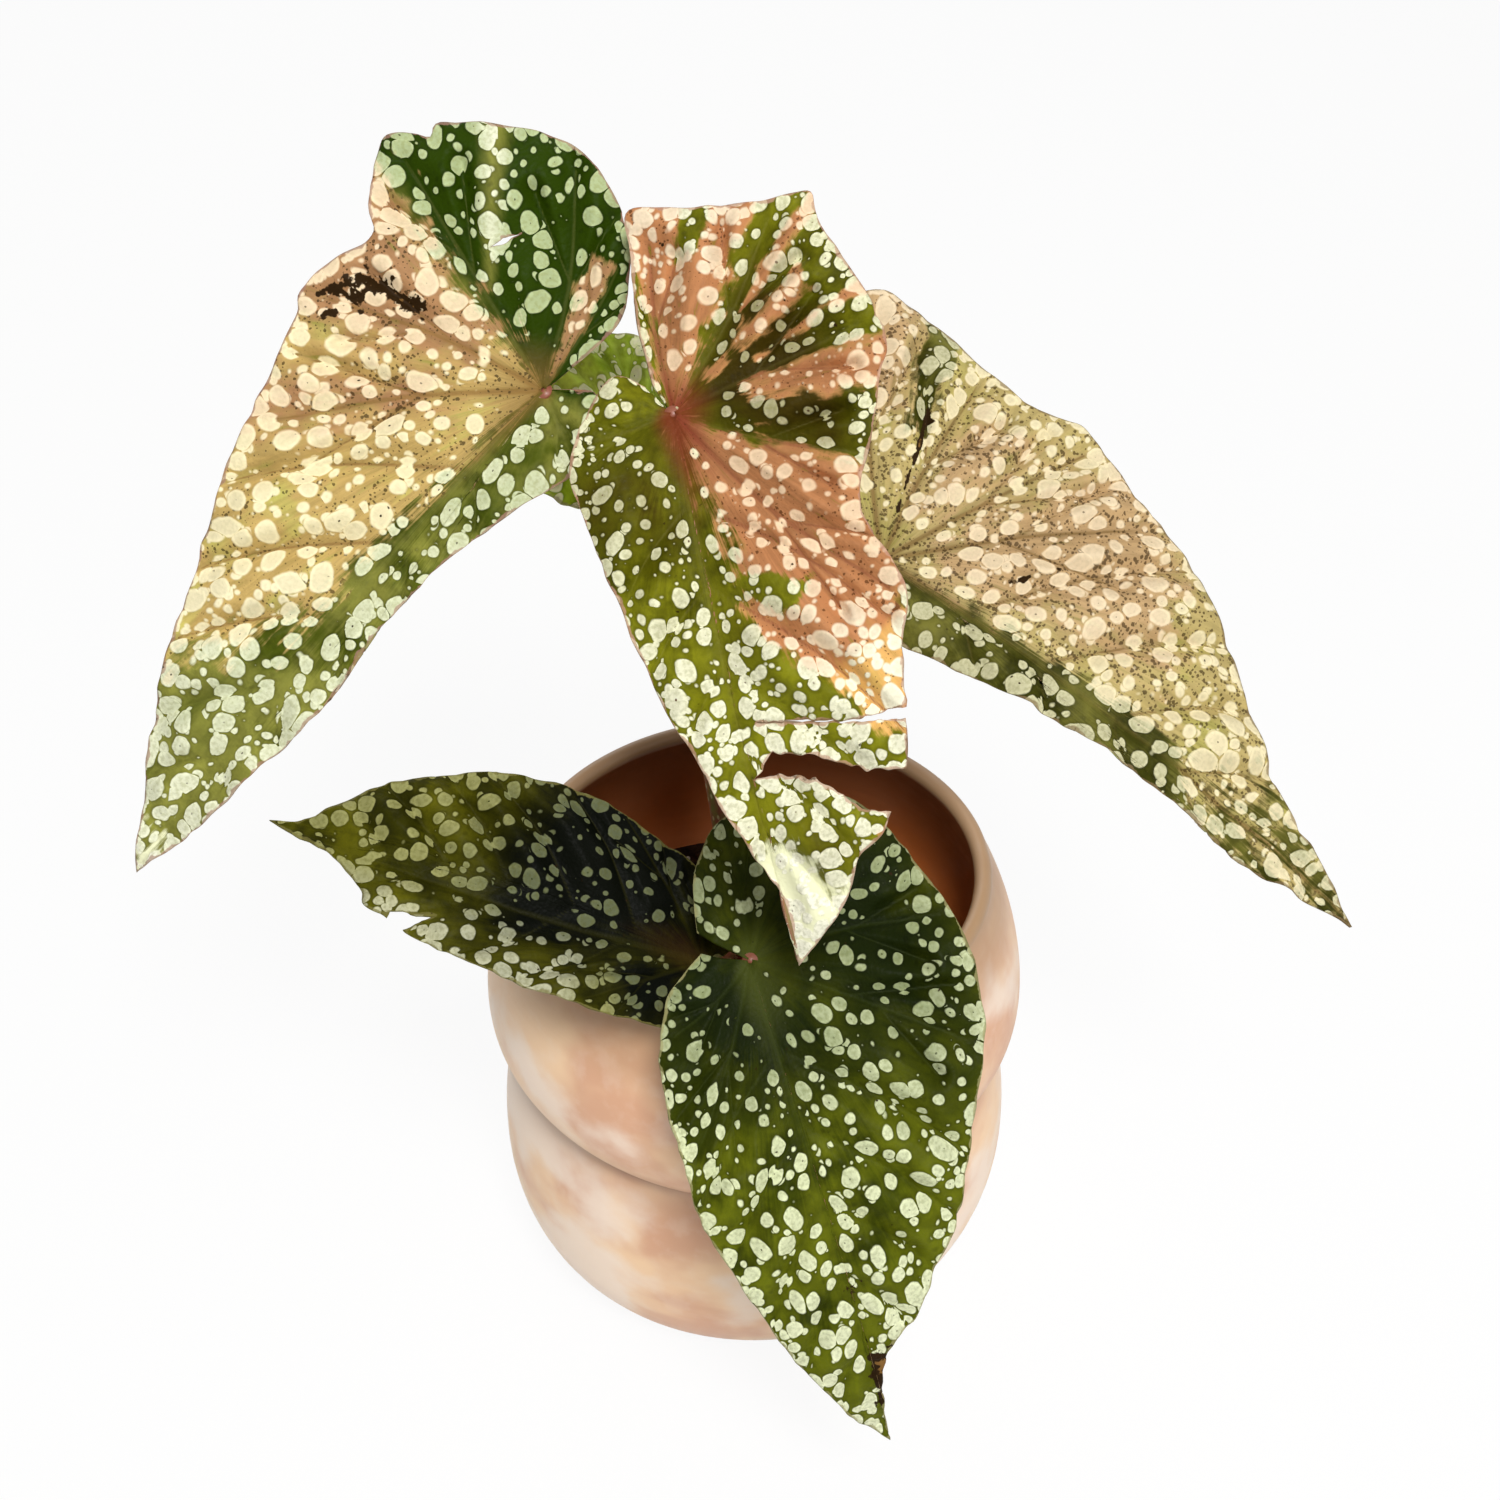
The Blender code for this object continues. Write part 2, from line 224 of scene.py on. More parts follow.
def ripple(places: np.ndarray, longest: float, seed: int, count: int = 9) -> np.ndarray:
    """A smooth random surface of height about 1, from crossing waves.

    Args:
        places: flat or solid places, one row each.
        longest: the longest wave, in the unit of the places.
        seed: which surface it is.
        count: how many waves cross.

    Returns:
        One height for each place.
    """
    chance = np.random.default_rng(seed)
    height = np.zeros(len(places))
    for _ in range(count):
        heading = chance.normal(size=places.shape[1])
        heading /= np.linalg.norm(heading)
        wave = longest * chance.uniform(0.4, 1.0)
        height += np.sin(places @ heading * tau / wave + chance.uniform(0, tau)) * wave / longest
    return height / count**0.5


# ---- materials ----


class Nodes:
    """A node tree and the one function that adds nodes to it."""

    def __init__(self, tree: bpy.types.NodeTree) -> None:
        """Takes the tree that the nodes go into."""
        self.tree = tree

    def add(
        self, kind: str, *values: Value | None, named: dict[str, Value] | None = None, **settings: str
    ) -> Node:
        """Adds a node with its settings and links.

        Args:
            kind: the node's type, without ShaderNode, and its mode where it has one, such as "Math ADD".
            values: numbers, colours, nodes or sockets for its inputs, in order. None leaves one as it is.
            named: the same for inputs by name.
            settings: the node's own properties.

        Returns:
            The node. Where a node is given as a value, its first output in use is linked.
        """
        kind, _, mode = kind.partition(" ")
        made = self.tree.nodes.new("ShaderNode" + kind)
        if mode:
            settings[MODES[kind]] = mode
        for key, value in settings.items():
            setattr(made, key, value)
        sockets = [s for s in made.inputs if s.enabled]
        wanted = [(s, v) for s, v in zip(sockets, values) if v is not None]
        wanted += [(made.inputs[key], value) for key, value in (named or {}).items()]
        for socket, value in wanted:
            self.join(socket, value)
        return made

    def join(self, socket: Socket, value: Value) -> None:
        """Links a node or socket to an input, or sets the input.

        Args:
            socket: the input.
            value: what it takes. A text is an sRGB hex colour.
        """
        if isinstance(value, Node):
            value = next(s for s in value.outputs if s.enabled)
        if isinstance(value, Socket):
            self.tree.links.new(value, socket)
        else:
            socket.default_value = linear(value) if isinstance(value, str) else value

    def attribute(self, name: str) -> Socket:
        """Reads the three numbers that a mesh keeps under a name."""
        return self.add("Attribute", attribute_name=name).outputs["Vector"]

    def white_room(self) -> Node:
        """Marks the rays that see a white room: the camera's, and those off gloss or through clear surfaces.

        Returns:
            The node, 1 for such a ray and 0 for others.
        """
        rays = self.add("LightPath")
        seen = self.add("Math MAXIMUM", rays.outputs["Is Camera Ray"], rays.outputs["Is Glossy Ray"])
        return self.add("Math MAXIMUM", seen, rays.outputs["Is Transmission Ray"])


class Finish(Nodes):
    """A material and its Principled shader."""

    def __init__(self, name: str) -> None:
        """Makes an empty Principled material.

        Args:
            name: the real material's name.
        """
        self.material = bpy.data.materials.new(name)
        self.material.use_nodes = True
        super().__init__(self.material.node_tree)
        self.shader = self.tree.nodes["Principled BSDF"]

    def dress(self, **inputs: Value) -> bpy.types.Material:
        """Sets or links the shader's own inputs.

        Args:
            inputs: values by the shader's input names, with _ for a space.

        Returns:
            The finished material.
        """
        for key, value in inputs.items():
            self.join(self.shader.inputs[key.replace("_", " ")], value)
        return self.material


@dataclass(frozen=True)
class SpotLayer:
    """One size of spots: where they stand and how large they are, in mm."""

    spacing: float
    least: float
    most: float
    share: float  # of the places, how many hold a spot
    length: float  # how many times longer than wide, away from the petiole


@dataclass(frozen=True)
class BladeFinish:
    """The upper skin of a begonia leaf: a living cuticle with a low satin gloss over green and cream tissue.

    Air under the skin makes the pale spots, and cream and pink sectors lack the green. The eye sees
    crisp spots of three sizes, drawn out away from the petiole and crowded at the margin, over fine
    streaks that fan out with the veins, and burnt specks in the cream.
    """

    name: str
    green_deep: str
    green_light: str
    green_spot: str
    cream: str
    yellow: str
    blush: str
    cream_spot: str
    blush_spot: str
    speck: str
    margin: str
    vein: str
    spots: tuple[SpotLayer, ...]
    painted_shade_green: str = "0a0f02"  # painted shade: the green of a sector where a shadow falls
    # painted shade: the spots of a sector where a shadow falls
    painted_shade_spot: str = "7d8663"
    bleached: str = "f0f0c8"  # tissue with neither green nor red
    lit_spot: str = "fbf9e2"  # painted light: a spot with light shining through it
    scorch: str = "2b1c0a"  # the ring round dead tissue
    burnt: str = "8a6434"  # the dead tissue inside it
    rib: str = "9a7448"  # a vein where it crosses cream tissue
    vein_share: float = 0.35
    flush: str = "7a4a30"  # the skin next to the petiole
    flush_share: float = 0.25
    shrink: float = 0.1  # mm that spots lose in a sector of painted shade
    yellowness: float = 0.5
    specks: float = 1.0
    roughness: float = 0.5

    def build(self) -> bpy.types.Material:
        """Builds the material. It reads the blade's flat, fan, sectors, lines and marks attributes.

        Returns:
            The material.
        """
        f = Finish(self.name)
        flat = f.attribute("flat")
        fan = f.attribute("fan")
        sectors = f.add("SeparateXYZ", f.attribute("sectors"))
        lines = f.add("SeparateXYZ", f.attribute("lines"))
        marks = f.add("SeparateXYZ", f.attribute("marks"))
        vein, edge = lines.outputs[0], lines.outputs[1]

        clouds = f.add("TexNoise 2D", flat, 0.07, 4.0)
        grain = f.add("TexNoise 2D", flat, 1.3, 3.0)
        # Broad streaks are 8 mm wide at the margin and fine ones 2 mm; both run out from the petiole.
        broad = f.add("TexNoise 3D", fan, 0.12, 3.0, 0.6)
        drawn = f.add("Mapping", fan, named={"Scale": (0.4, 0.3, 1.0)})
        fine = f.add("TexNoise 3D", drawn, 1.0, 4.0, 0.6)

        # Where each tissue lies: its borders wander with the streaks and the mottle.
        mottle = f.add("TexNoise 2D", flat, 0.2, 4.0)
        mixed = f.add("Math ADD", f.add("Math ADD", broad, fine), mottle)
        wander = f.add("Math MULTIPLY", f.add("Math SUBTRACT", mixed, 1.5), 0.7)
        pale = f.add("Math ADD", sectors.outputs[0], wander)
        pale = f.add("MapRange SMOOTHSTEP", pale, 0.38, 0.62)
        pinkness = f.add("Math ADD", sectors.outputs[1], wander)
        pinkness = f.add("MapRange SMOOTHSTEP", pinkness, 0.25, 0.75)
        # Painted shade: the DARK sectors, where the green and its spots are painted darker.
        dark = f.add("Math ADD", sectors.outputs[2], f.add("Math MULTIPLY", wander, 0.5))
        dark = f.add("MapRange SMOOTHSTEP", dark, 0.15, 0.85, 0.0, 1.0)

        # Green tissue is clouded, painted darker in the sectors of painted shade and lighter in those of
        # painted light, and tinted along the veins.
        depth = f.add("Math ADD", clouds, f.add("Math MULTIPLY", fine, 0.35))
        # Painted light: the LIT sectors paint the green lighter.
        depth = f.add("Math ADD", depth, f.add("Math MULTIPLY", marks.outputs[2], 0.4))
        depth = f.add("MapRange SMOOTHSTEP", depth, 0.54, 0.84)
        green = f.add("Mix RGBA", depth, self.green_deep, self.green_light)
        patchy = f.add("MapRange SMOOTHSTEP", mottle, 0.36, 0.62, 0.8, 1.12)
        green = f.add("VectorMath SCALE", green, patchy)
        green = f.add("Mix RGBA", dark, green, self.painted_shade_green)
        by_vein = f.add("MapRange SMOOTHSTEP", vein, 0.9, 0.2, 0.0, self.vein_share)
        green = f.add("Mix RGBA", by_vein, green, self.vein)

        # Cream tissue is yellow or pink in places, tan along the veins and flecked with green.
        yellowed = f.add("Math MULTIPLY", f.add("Math ADD", clouds, broad), 0.5)
        yellowed = f.add("MapRange", yellowed, 0.62 - 0.25 * self.yellowness, 0.75 - 0.25 * self.yellowness)
        cream = f.add("Mix RGBA", yellowed, self.cream, self.yellow)
        cream = f.add("Mix RGBA", pinkness, cream, self.blush)
        tan_line = f.add("MapRange SMOOTHSTEP", vein, 1.1, 0.2, 0.0, 0.75)
        cream = f.add("Mix RGBA", tan_line, cream, self.rib)
        shade = f.add("MapRange SMOOTHSTEP", fine, 0.36, 0.64, 0.84, 1.08)
        # Painted light: the LIT sectors paint the cream lighter.
        shade = f.add("Math ADD", shade, f.add("Math MULTIPLY", marks.outputs[2], 0.22))
        cream = f.add("VectorMath SCALE", cream, shade)
        flecks = f.add("MapRange", fine, 0.29, 0.38, 0.6, 0.0)
        cream = f.add("Mix RGBA", flecks, cream, self.green_light)
        ground = f.add("Mix RGBA", pale, green, cream)
        # Painted shade: the ground is painted darker along the vein furrows.
        furrow_shade = f.add("MapRange SMOOTHSTEP", vein, 0.5, 3.5, 0.84, 1.0)
        ground = f.add("VectorMath SCALE", ground, furrow_shade)
        flush = f.add("MapRange SMOOTHSTEP", lines.outputs[2], 0.24, 0.02, 0.0, self.flush_share)
        ground = f.add("Mix RGBA", flush, ground, self.flush)
        speck = self.burnt_specks(f, flat, fan, grain, pale)
        inner, pinhole = self.spot_depth(f, flat, edge, vein)
        # Spots are painted larger where light shines through, which is painted light, and smaller in the
        # sectors of painted shade and by the petiole.
        grown = f.add("Math MULTIPLY", marks.outputs[2], 0.3)
        shrunk = f.add("Math MULTIPLY", dark, self.shrink)
        young = f.add("MapRange SMOOTHSTEP", lines.outputs[2], 0.34, 0.08, 0.0, 0.8)
        shrunk = f.add("Math ADD", shrunk, young)
        inner = f.add("Math SUBTRACT", f.add("Math ADD", inner, grown), shrunk)
        # A spot is crisp on green tissue and melts into the cream.
        soft = f.add("MapRange", pale, 0.0, 1.0, -0.1, -0.3)
        inside = f.add("MapRange SMOOTHSTEP", inner, soft, 0.12)
        halo = f.add("MapRange SMOOTHSTEP", inner, -0.7, -0.05, 1.0, 0.72)
        halo = f.add("Mix FLOAT", pale, halo, 1.0)
        ground = f.add("VectorMath SCALE", ground, halo)
        ground = f.add("Mix RGBA", speck, ground, self.speck)
        bleach = f.add("Math ADD", marks.outputs[1], wander)
        bleach = f.add("MapRange SMOOTHSTEP", bleach, 0.4, 0.6, 0.0, 0.94)
        ground = f.add("Mix RGBA", bleach, ground, self.bleached)

        # A spot takes the tone of the tissue that it stands in, painted dimmer in painted shade and brighter in
        # painted light.
        pale_spot = f.add("Mix RGBA", pinkness, self.cream_spot, self.blush_spot)
        green_spot = f.add("Mix RGBA", dark, self.green_spot, self.painted_shade_spot)
        spot = f.add("Mix RGBA", pale, green_spot, pale_spot)
        # Painted light: spots in the LIT sectors are painted brighter.
        bright = f.add("Math MULTIPLY", marks.outputs[2], 0.5)
        bright = f.add("Math MAXIMUM", bleach, bright)
        spot = f.add("Mix RGBA", bright, spot, self.lit_spot)
        body = f.add("MapRange SMOOTHSTEP", inner, 0.15, 0.7, 1.0, 0.88)
        spot = f.add("VectorMath SCALE", spot, body)
        mottled = f.add("MapRange", grain, 0.42, 0.66, 0.0, 0.3)
        mottled = f.add("Math MULTIPLY", mottled, f.add("MapRange", pale, 0.0, 1.0, 1.0, 0.35))
        spot = f.add("Mix RGBA", mottled, spot, self.green_light)
        skin = f.add("Mix RGBA", inside, ground, spot)
        skin = f.add("Mix RGBA", pinhole, skin, self.speck)
        skin = self.wear(f, skin, flat, edge, grain, marks.outputs[0])

        # Spots stand a little proud of a finely pored skin.
        pores = f.add("TexVoronoi 2D", flat, 1 / 0.7, feature="SMOOTH_F1")
        relief = f.add("Math ADD", inside, f.add("Math MULTIPLY", pores, 0.6))
        relief = f.add("Math ADD", relief, f.add("Math MULTIPLY", grain, 1.2))
        bump = f.add("Bump", named={"Strength": 0.5, "Distance": 0.0002, "Height": relief})
        gloss = f.add("MapRange", grain, 0.3, 0.7, self.roughness - 0.06, self.roughness + 0.08)
        return f.dress(Base_Color=skin, Roughness=gloss, Normal=bump, IOR=1.42, Specular_IOR_Level=0.06)

    def burnt_specks(self, f: Finish, flat: Socket, fan: Socket, grain: Node, pale: Node) -> Node:
        """Marks the burnt brown specks, 0.2 to 0.6 mm, that cluster along the streaks of the cream tissue.

        Args:
            f: the finish that takes the nodes.
            flat: the place on the flat blade.
            fan: the place along the streaks.
            grain: noise that frays the specks.
            pale: where the tissue is cream.

        Returns:
            The node that holds how strongly a place is burnt.
        """
        dots = f.add("TexVoronoi 2D", flat, 1 / 0.78)
        size = f.add("SeparateColor", dots.outputs["Color"]).outputs[0]
        size = f.add("Math MULTIPLY", f.add("Math MULTIPLY", size, size), 1.5)
        cluster = f.add("TexNoise 3D", fan, 0.2, 3.0)
        reach = f.add("MapRange", cluster, 0.56 - 0.14 * self.specks, 0.7, 0.0, 0.4 + 0.07 * self.specks)
        reach = f.add("Math MULTIPLY", reach, size)
        frayed = f.add("Math ADD", dots.outputs["Distance"], f.add("Math ADD", grain, -0.45))
        speck = f.add("Math LESS_THAN", frayed, reach)
        return f.add("Math MULTIPLY", f.add("Math MULTIPLY", speck, pale), 0.75)

    def wear(self, f: Finish, skin: Node, flat: Socket, edge: Socket, grain: Node, scorch: Socket) -> Node:
        """Wears the margin to a thin pale line with blotches that reach inwards, and scorches the dead places.

        Args:
            f: the finish that takes the nodes.
            skin: the colour so far.
            flat: the place on the flat blade.
            edge: the distance to the margin.
            grain: noise that makes the borders ragged.
            scorch: how dead a place is.

        Returns:
            The node that holds the worn colour.
        """
        blotch = f.add("TexNoise 2D", flat, 0.3, 3.0)
        width = f.add("MapRange", blotch, 0.42, 0.75, 0.1, 0.9)
        near_edge = f.add("Math DIVIDE", edge, width)
        near_edge = f.add("MapRange SMOOTHSTEP", near_edge, 1.1, 0.7, 0.0, 0.7)
        skin = f.add("Mix RGBA", near_edge, skin, self.margin)
        ragged = f.add("Math ADD", f.add("Math MULTIPLY", grain, 0.25), blotch)
        ragged = f.add("Math MULTIPLY", f.add("Math ADD", ragged, -0.625), 1.6)
        scorched = f.add("Math ADD", scorch, ragged)
        ring = f.add("MapRange SMOOTHSTEP", scorched, 0.45, 0.55)
        skin = f.add("Mix RGBA", ring, skin, self.scorch)
        burnt = f.add("MapRange SMOOTHSTEP", scorched, 0.92, 1.04, 0.0, 0.8)
        return f.add("Mix RGBA", burnt, skin, self.burnt)

    def spot_depth(self, f: Finish, flat: Socket, edge: Socket, vein: Socket) -> tuple[Node, Node]:
        """Finds how deep inside a spot each place lies, in mm, negative outside.

        Args:
            f: the finish that takes the nodes.
            flat: the place on the flat blade.
            edge: the distance to the margin.
            vein: the distance to a vein, in widths of it.

        Returns:
            The node that holds the depth, and the node that marks the tiny gland in the middle of some spots.
        """
        sway = f.add("TexNoise 2D", flat, 0.09, 0.0).outputs["Color"]
        sway = f.add("VectorMath SUBTRACT", sway, (0.5, 0.5, 0.5))
        sway = f.add("VectorMath SCALE", sway, 1.8)
        swayed = f.add("VectorMath ADD", flat, sway)
        crumple = f.add("TexNoise 2D", flat, 0.4, 1.0)
        crumple = f.add("MapRange", crumple, 0.2, 0.8, -0.2, 0.2)
        found = pinhole = None
        for number, layer in enumerate(self.spots):
            shift = (37.0 * number, 11.0 * number, 0.0)
            shifted = f.add("VectorMath ADD", swayed, shift)
            depths = []
            # The second nearest spot counts too, so that a large one isn't cut off by its neighbour's cell.
            for feature in ("F1", "F2") if layer.most > 1 else ("F1",):
                spread = {"Scale": 1 / layer.spacing, "Randomness": 0.78}
                cells = f.add("TexVoronoi 2D", shifted, named=spread, feature=feature)
                centre = cells.outputs["Position"]
                chance = f.add("SeparateColor", cells.outputs["Color"])
                offset = f.add("VectorMath SUBTRACT", shifted, centre)
                ray = f.add("VectorMath SUBTRACT", centre, shift)
                ray = f.add("VectorMath NORMALIZE", ray)
                turn = f.add("MapRange", chance.outputs[2], 0.0, 1.0, -0.6, 0.6)
                ray = f.add("VectorRotate", ray, named={"Angle": turn}, rotation_type="Z_AXIS")
                along = f.add("VectorMath DOT_PRODUCT", offset, ray).outputs["Value"]
                along = f.add("Math MULTIPLY", along, along)
                drawn = f.add("Math MULTIPLY", chance.outputs[1], 1 - 1 / layer.length**2)
                along = f.add("Math MULTIPLY", along, drawn)
                square = f.add("VectorMath DOT_PRODUCT", offset, offset).outputs["Value"]
                across = f.add("Math SQRT", f.add("Math SUBTRACT", square, along))
                gate = 1 - layer.share
                radius = f.add("MapRange", chance.outputs[0], gate, 1.0, layer.least + 2, layer.most + 2)
                held = f.add("Math GREATER_THAN", chance.outputs[0], gate)
                radius = f.add("Math SUBTRACT", f.add("Math MULTIPLY", radius, held), 2.0)
                depths.append(f.add("Math SUBTRACT", radius, across))
                if pinhole is None:
                    pinhole = f.add("Math LESS_THAN", across, 0.17)
                    pinhole = f.add("Math MULTIPLY", pinhole, chance.outputs[1])
                    pinhole = f.add("Math MULTIPLY", pinhole, held)
            deepest = depths[0]
            if len(depths) > 1:
                # Two that only just touch keep a thin green line between them.
                apart = f.add("Math ABSOLUTE", f.add("Math SUBTRACT", *depths))
                seam = f.add("MapRange SMOOTHSTEP", apart, 0.0, 0.5, 0.4, 0.0)
                deepest = f.add("Math SUBTRACT", f.add("Math MAXIMUM", *depths), seam)
            if found is not None:
                # Smaller spots nestle beside the larger ones.
                room = f.add("Math SUBTRACT", -0.3, found)
                deepest = f.add("Math MAXIMUM", found, f.add("Math MINIMUM", deepest, room))
            found = deepest
        crowd = f.add("MapRange SMOOTHSTEP", edge, 4.0, 0.5, 0.0, 0.25)
        clear = f.add("MapRange SMOOTHSTEP", vein, 2.0, 0.4, 0.0, 0.75)
        found = f.add("Math ADD", f.add("Math ADD", found, crumple), crowd)
        return f.add("Math SUBTRACT", found, clear), pinhole


@dataclass(frozen=True)
class UndersideFinish:
    """The lower skin of the leaves: duller than the top, olive between the veins and wine red along them."""

    name: str = "begonia_leaf_underside"
    flesh: str = "8b8a4e"
    wine: str = "8c4a40"
    pale: str = "cfc59a"
    cream: str = "c4ad84"  # tissue without green
    rib: str = "a0604c"
    roughness: float = 0.55

    def build(self) -> bpy.types.Material:
        """Builds the material. It reads the blade's flat, sectors and lines attributes.

        Returns:
            The material.
        """
        f = Finish(self.name)
        flat = f.attribute("flat")
        lines = f.add("SeparateXYZ", f.attribute("lines"))
        clouds = f.add("TexNoise 2D", flat, 0.08, 4.0)
        grain = f.add("TexNoise 2D", flat, 1.1, 3.0)
        tint = f.add("MapRange SMOOTHSTEP", clouds, 0.35, 0.65)
        sectors = f.add("SeparateXYZ", f.attribute("sectors"))
        pale = f.add("Math ADD", sectors, f.add("Math ADD", clouds, -0.5))
        pale = f.add("MapRange SMOOTHSTEP", pale, 0.35, 0.65, 0.0, 0.75)
        flesh = f.add("Mix RGBA", pale, self.flesh, self.cream)
        skin = f.add("Mix RGBA", f.add("Math MULTIPLY", tint, 0.7), flesh, self.wine)
        cells = f.add("TexVoronoi 2D", flat, named={"Scale": 1 / 4.6, "Randomness": 0.85})
        size = f.add("SeparateColor", cells.outputs["Color"])
        reach = f.add("MapRange", size.outputs[0], 0.0, 1.0, -0.1, 0.36)
        spot = f.add("Math SUBTRACT", reach, cells.outputs["Distance"])
        spot = f.add("MapRange SMOOTHSTEP", spot, -0.06, 0.04, 0.0, 0.6)
        skin = f.add("Mix RGBA", spot, skin, self.pale)
        rib = f.add("MapRange SMOOTHSTEP", lines.outputs[0], 1.3, 0.3, 0.0, 0.8)
        skin = f.add("Mix RGBA", rib, skin, self.rib)
        relief = f.add("Math ADD", grain, rib)
        bump = f.add("Bump", named={"Strength": 0.4, "Distance": 0.0003, "Height": relief})
        return f.dress(Base_Color=skin, Roughness=self.roughness, Normal=bump, Specular_IOR_Level=0.35)


@dataclass(frozen=True)
class StonewareFinish:
    """Wheel-thrown stoneware under a thin satin glaze, clouded peach and bone, with its inside painted brown as
    painted shade.
    """

    name: str = "satin_glazed_stoneware"
    body: str = "f7d1a8"
    warm: str = "dfab88"
    bone: str = "fbe8d6"
    # groove: the painted shade in the groove and at the foot
    groove: str = "a67d66"
    # lip: the lip's tan-brown, also painted as shade over the band below it
    lip: str = "aa8864"
    # The two inside colours are painted shade: the glaze seen in the shade of the hollow.
    inside: str = "8f5430"
    inside_dark: str = "88491f"
    roughness: float = 0.38

    def build(self) -> bpy.types.Material:
        """Builds the material. It reads Object coordinates and the pot's wall attribute.

        Returns:
            The material.
        """
        f = Finish(self.name)
        place = f.add("TexCoord").outputs["Object"]
        wall = f.add("SeparateXYZ", f.attribute("wall"))
        inner, lip, groove_shade = wall.outputs[0], wall.outputs[1], wall.outputs[2]
        # Clouds and wisps of about 30 mm, brushed round the pot, under blotches of 6 mm.
        brushed = f.add("Mapping", place, named={"Scale": (1.0, 1.0, 1.4)})
        clouds = f.add("TexNoise", brushed, named={"Scale": 1 / 0.034, "Detail": 3.0, "Distortion": 0.2})
        wisps = f.add("TexNoise", brushed, 1 / 0.03, 5.0, 0.45)
        blotch = f.add("TexNoise", place, 1 / 0.006, 4.0)
        throwing = f.add("Mapping", place, named={"Scale": (0.12, 0.12, 1.0)})
        rings = f.add("TexNoise", throwing, 1 / 0.0022, 2.0)
        tint = f.add("MapRange SMOOTHSTEP", clouds, 0.36, 0.58)
        skin = f.add("Mix RGBA", tint, self.warm, self.body)
        tint = f.add("MapRange SMOOTHSTEP", wisps, 0.48, 0.64, 0.0, 0.8)
        skin = f.add("Mix RGBA", tint, skin, self.bone)
        tint = f.add("MapRange SMOOTHSTEP", blotch, 0.45, 0.7, 0.0, 0.2)
        skin = f.add("Mix RGBA", tint, skin, self.bone)
        # Painted shade darkens the groove, the slopes next to it and the foot.
        skin = f.add("Mix RGBA", groove_shade, skin, self.groove)
        # Painted shade browns the band under the lip; the lip itself takes the same tan-brown.
        skin = f.add("Mix RGBA", lip, skin, self.lip)
        inside_shade = f.add("MapRange SMOOTHSTEP", clouds, 0.3, 0.7)
        inside_shade = f.add("Mix RGBA", inside_shade, self.inside_dark, self.inside)
        # Painted shade: the inside is painted brown, paler low down and darkest just under the lip.
        dry = f.add("MapRange", f.add("SeparateXYZ", place).outputs[2], 0.104, 0.074, 1.05, 2.2)
        inside_shade = f.add("VectorMath SCALE", inside_shade, dry)
        skin = f.add("Mix RGBA", inner, skin, inside_shade)
        relief = f.add("Math ADD", rings, f.add("Math MULTIPLY", blotch, 0.7))
        bump = f.add("Bump", named={"Strength": 0.25, "Distance": 0.0004, "Height": relief})
        gloss = f.add("MapRange", blotch, 0.3, 0.7, self.roughness, self.roughness + 0.14)
        return f.dress(Base_Color=skin, Roughness=gloss, Normal=bump, IOR=1.5)


@dataclass(frozen=True)
class CrumbFinish:
    """Potting mix, bark or perlite: a dry, rough, broken surface of one family of colours."""

    name: str
    dark: str
    light: str
    grain: float  # mm
    roughness: float = 0.95

    def build(self) -> bpy.types.Material:
        """Builds the material from noise of the grain's size on Object coordinates.

        Returns:
            The material.
        """
        f = Finish(self.name)
        place = f.add("TexCoord").outputs["Object"]
        grain = f.add("TexNoise", place, 1 / (self.grain * MM), 5.0, 0.65)
        tint = f.add("MapRange SMOOTHSTEP", grain, 0.35, 0.7)
        skin = f.add("Mix RGBA", tint, self.dark, self.light)
        bump = f.add("Bump", named={"Strength": 0.7, "Distance": 0.0006, "Height": grain})
        return f.dress(Base_Color=skin, Roughness=self.roughness, Normal=bump, Specular_IOR_Level=0.2)


@dataclass(frozen=True)
class StemFinish:
    """The green and red skin of cane and petioles, with pale raised breathing pores drawn out along them."""

    name: str = "begonia_stem_skin"
    green: str = "6f7d35"
    red: str = "8c4f3a"
    pore: str = "cfc79a"
    roughness: float = 0.42

    def build(self) -> bpy.types.Material:
        """Builds the material. It reads the stem's course attribute: mm round it, mm along it, and age.

        Returns:
            The material.
        """
        f = Finish(self.name)
        course = f.attribute("course")
        parts = f.add("SeparateXYZ", course)
        drawn = f.add("Mapping", course, named={"Scale": (1.0, 0.4, 0.0)})
        streak = f.add("TexNoise", drawn, 0.6, 3.0)
        tint = f.add("Math ADD", streak, parts.outputs[2])
        tint = f.add("MapRange SMOOTHSTEP", tint, 0.55, 1.0)
        skin = f.add("Mix RGBA", tint, self.green, self.red)
        cells = f.add("TexVoronoi 2D", drawn, 1 / 1.3)
        pore = f.add("MapRange SMOOTHSTEP", cells.outputs["Distance"], 0.26, 0.14, 0.0, 0.75)
        chosen = f.add("SeparateColor", cells.outputs["Color"])
        pore = f.add("Math MULTIPLY", pore, f.add("Math GREATER_THAN", chosen, 0.55))
        skin = f.add("Mix RGBA", pore, skin, self.pore)
        bump = f.add("Bump", named={"Strength": 0.5, "Distance": 0.0002, "Height": pore})
        return f.dress(Base_Color=skin, Roughness=self.roughness, Normal=bump)


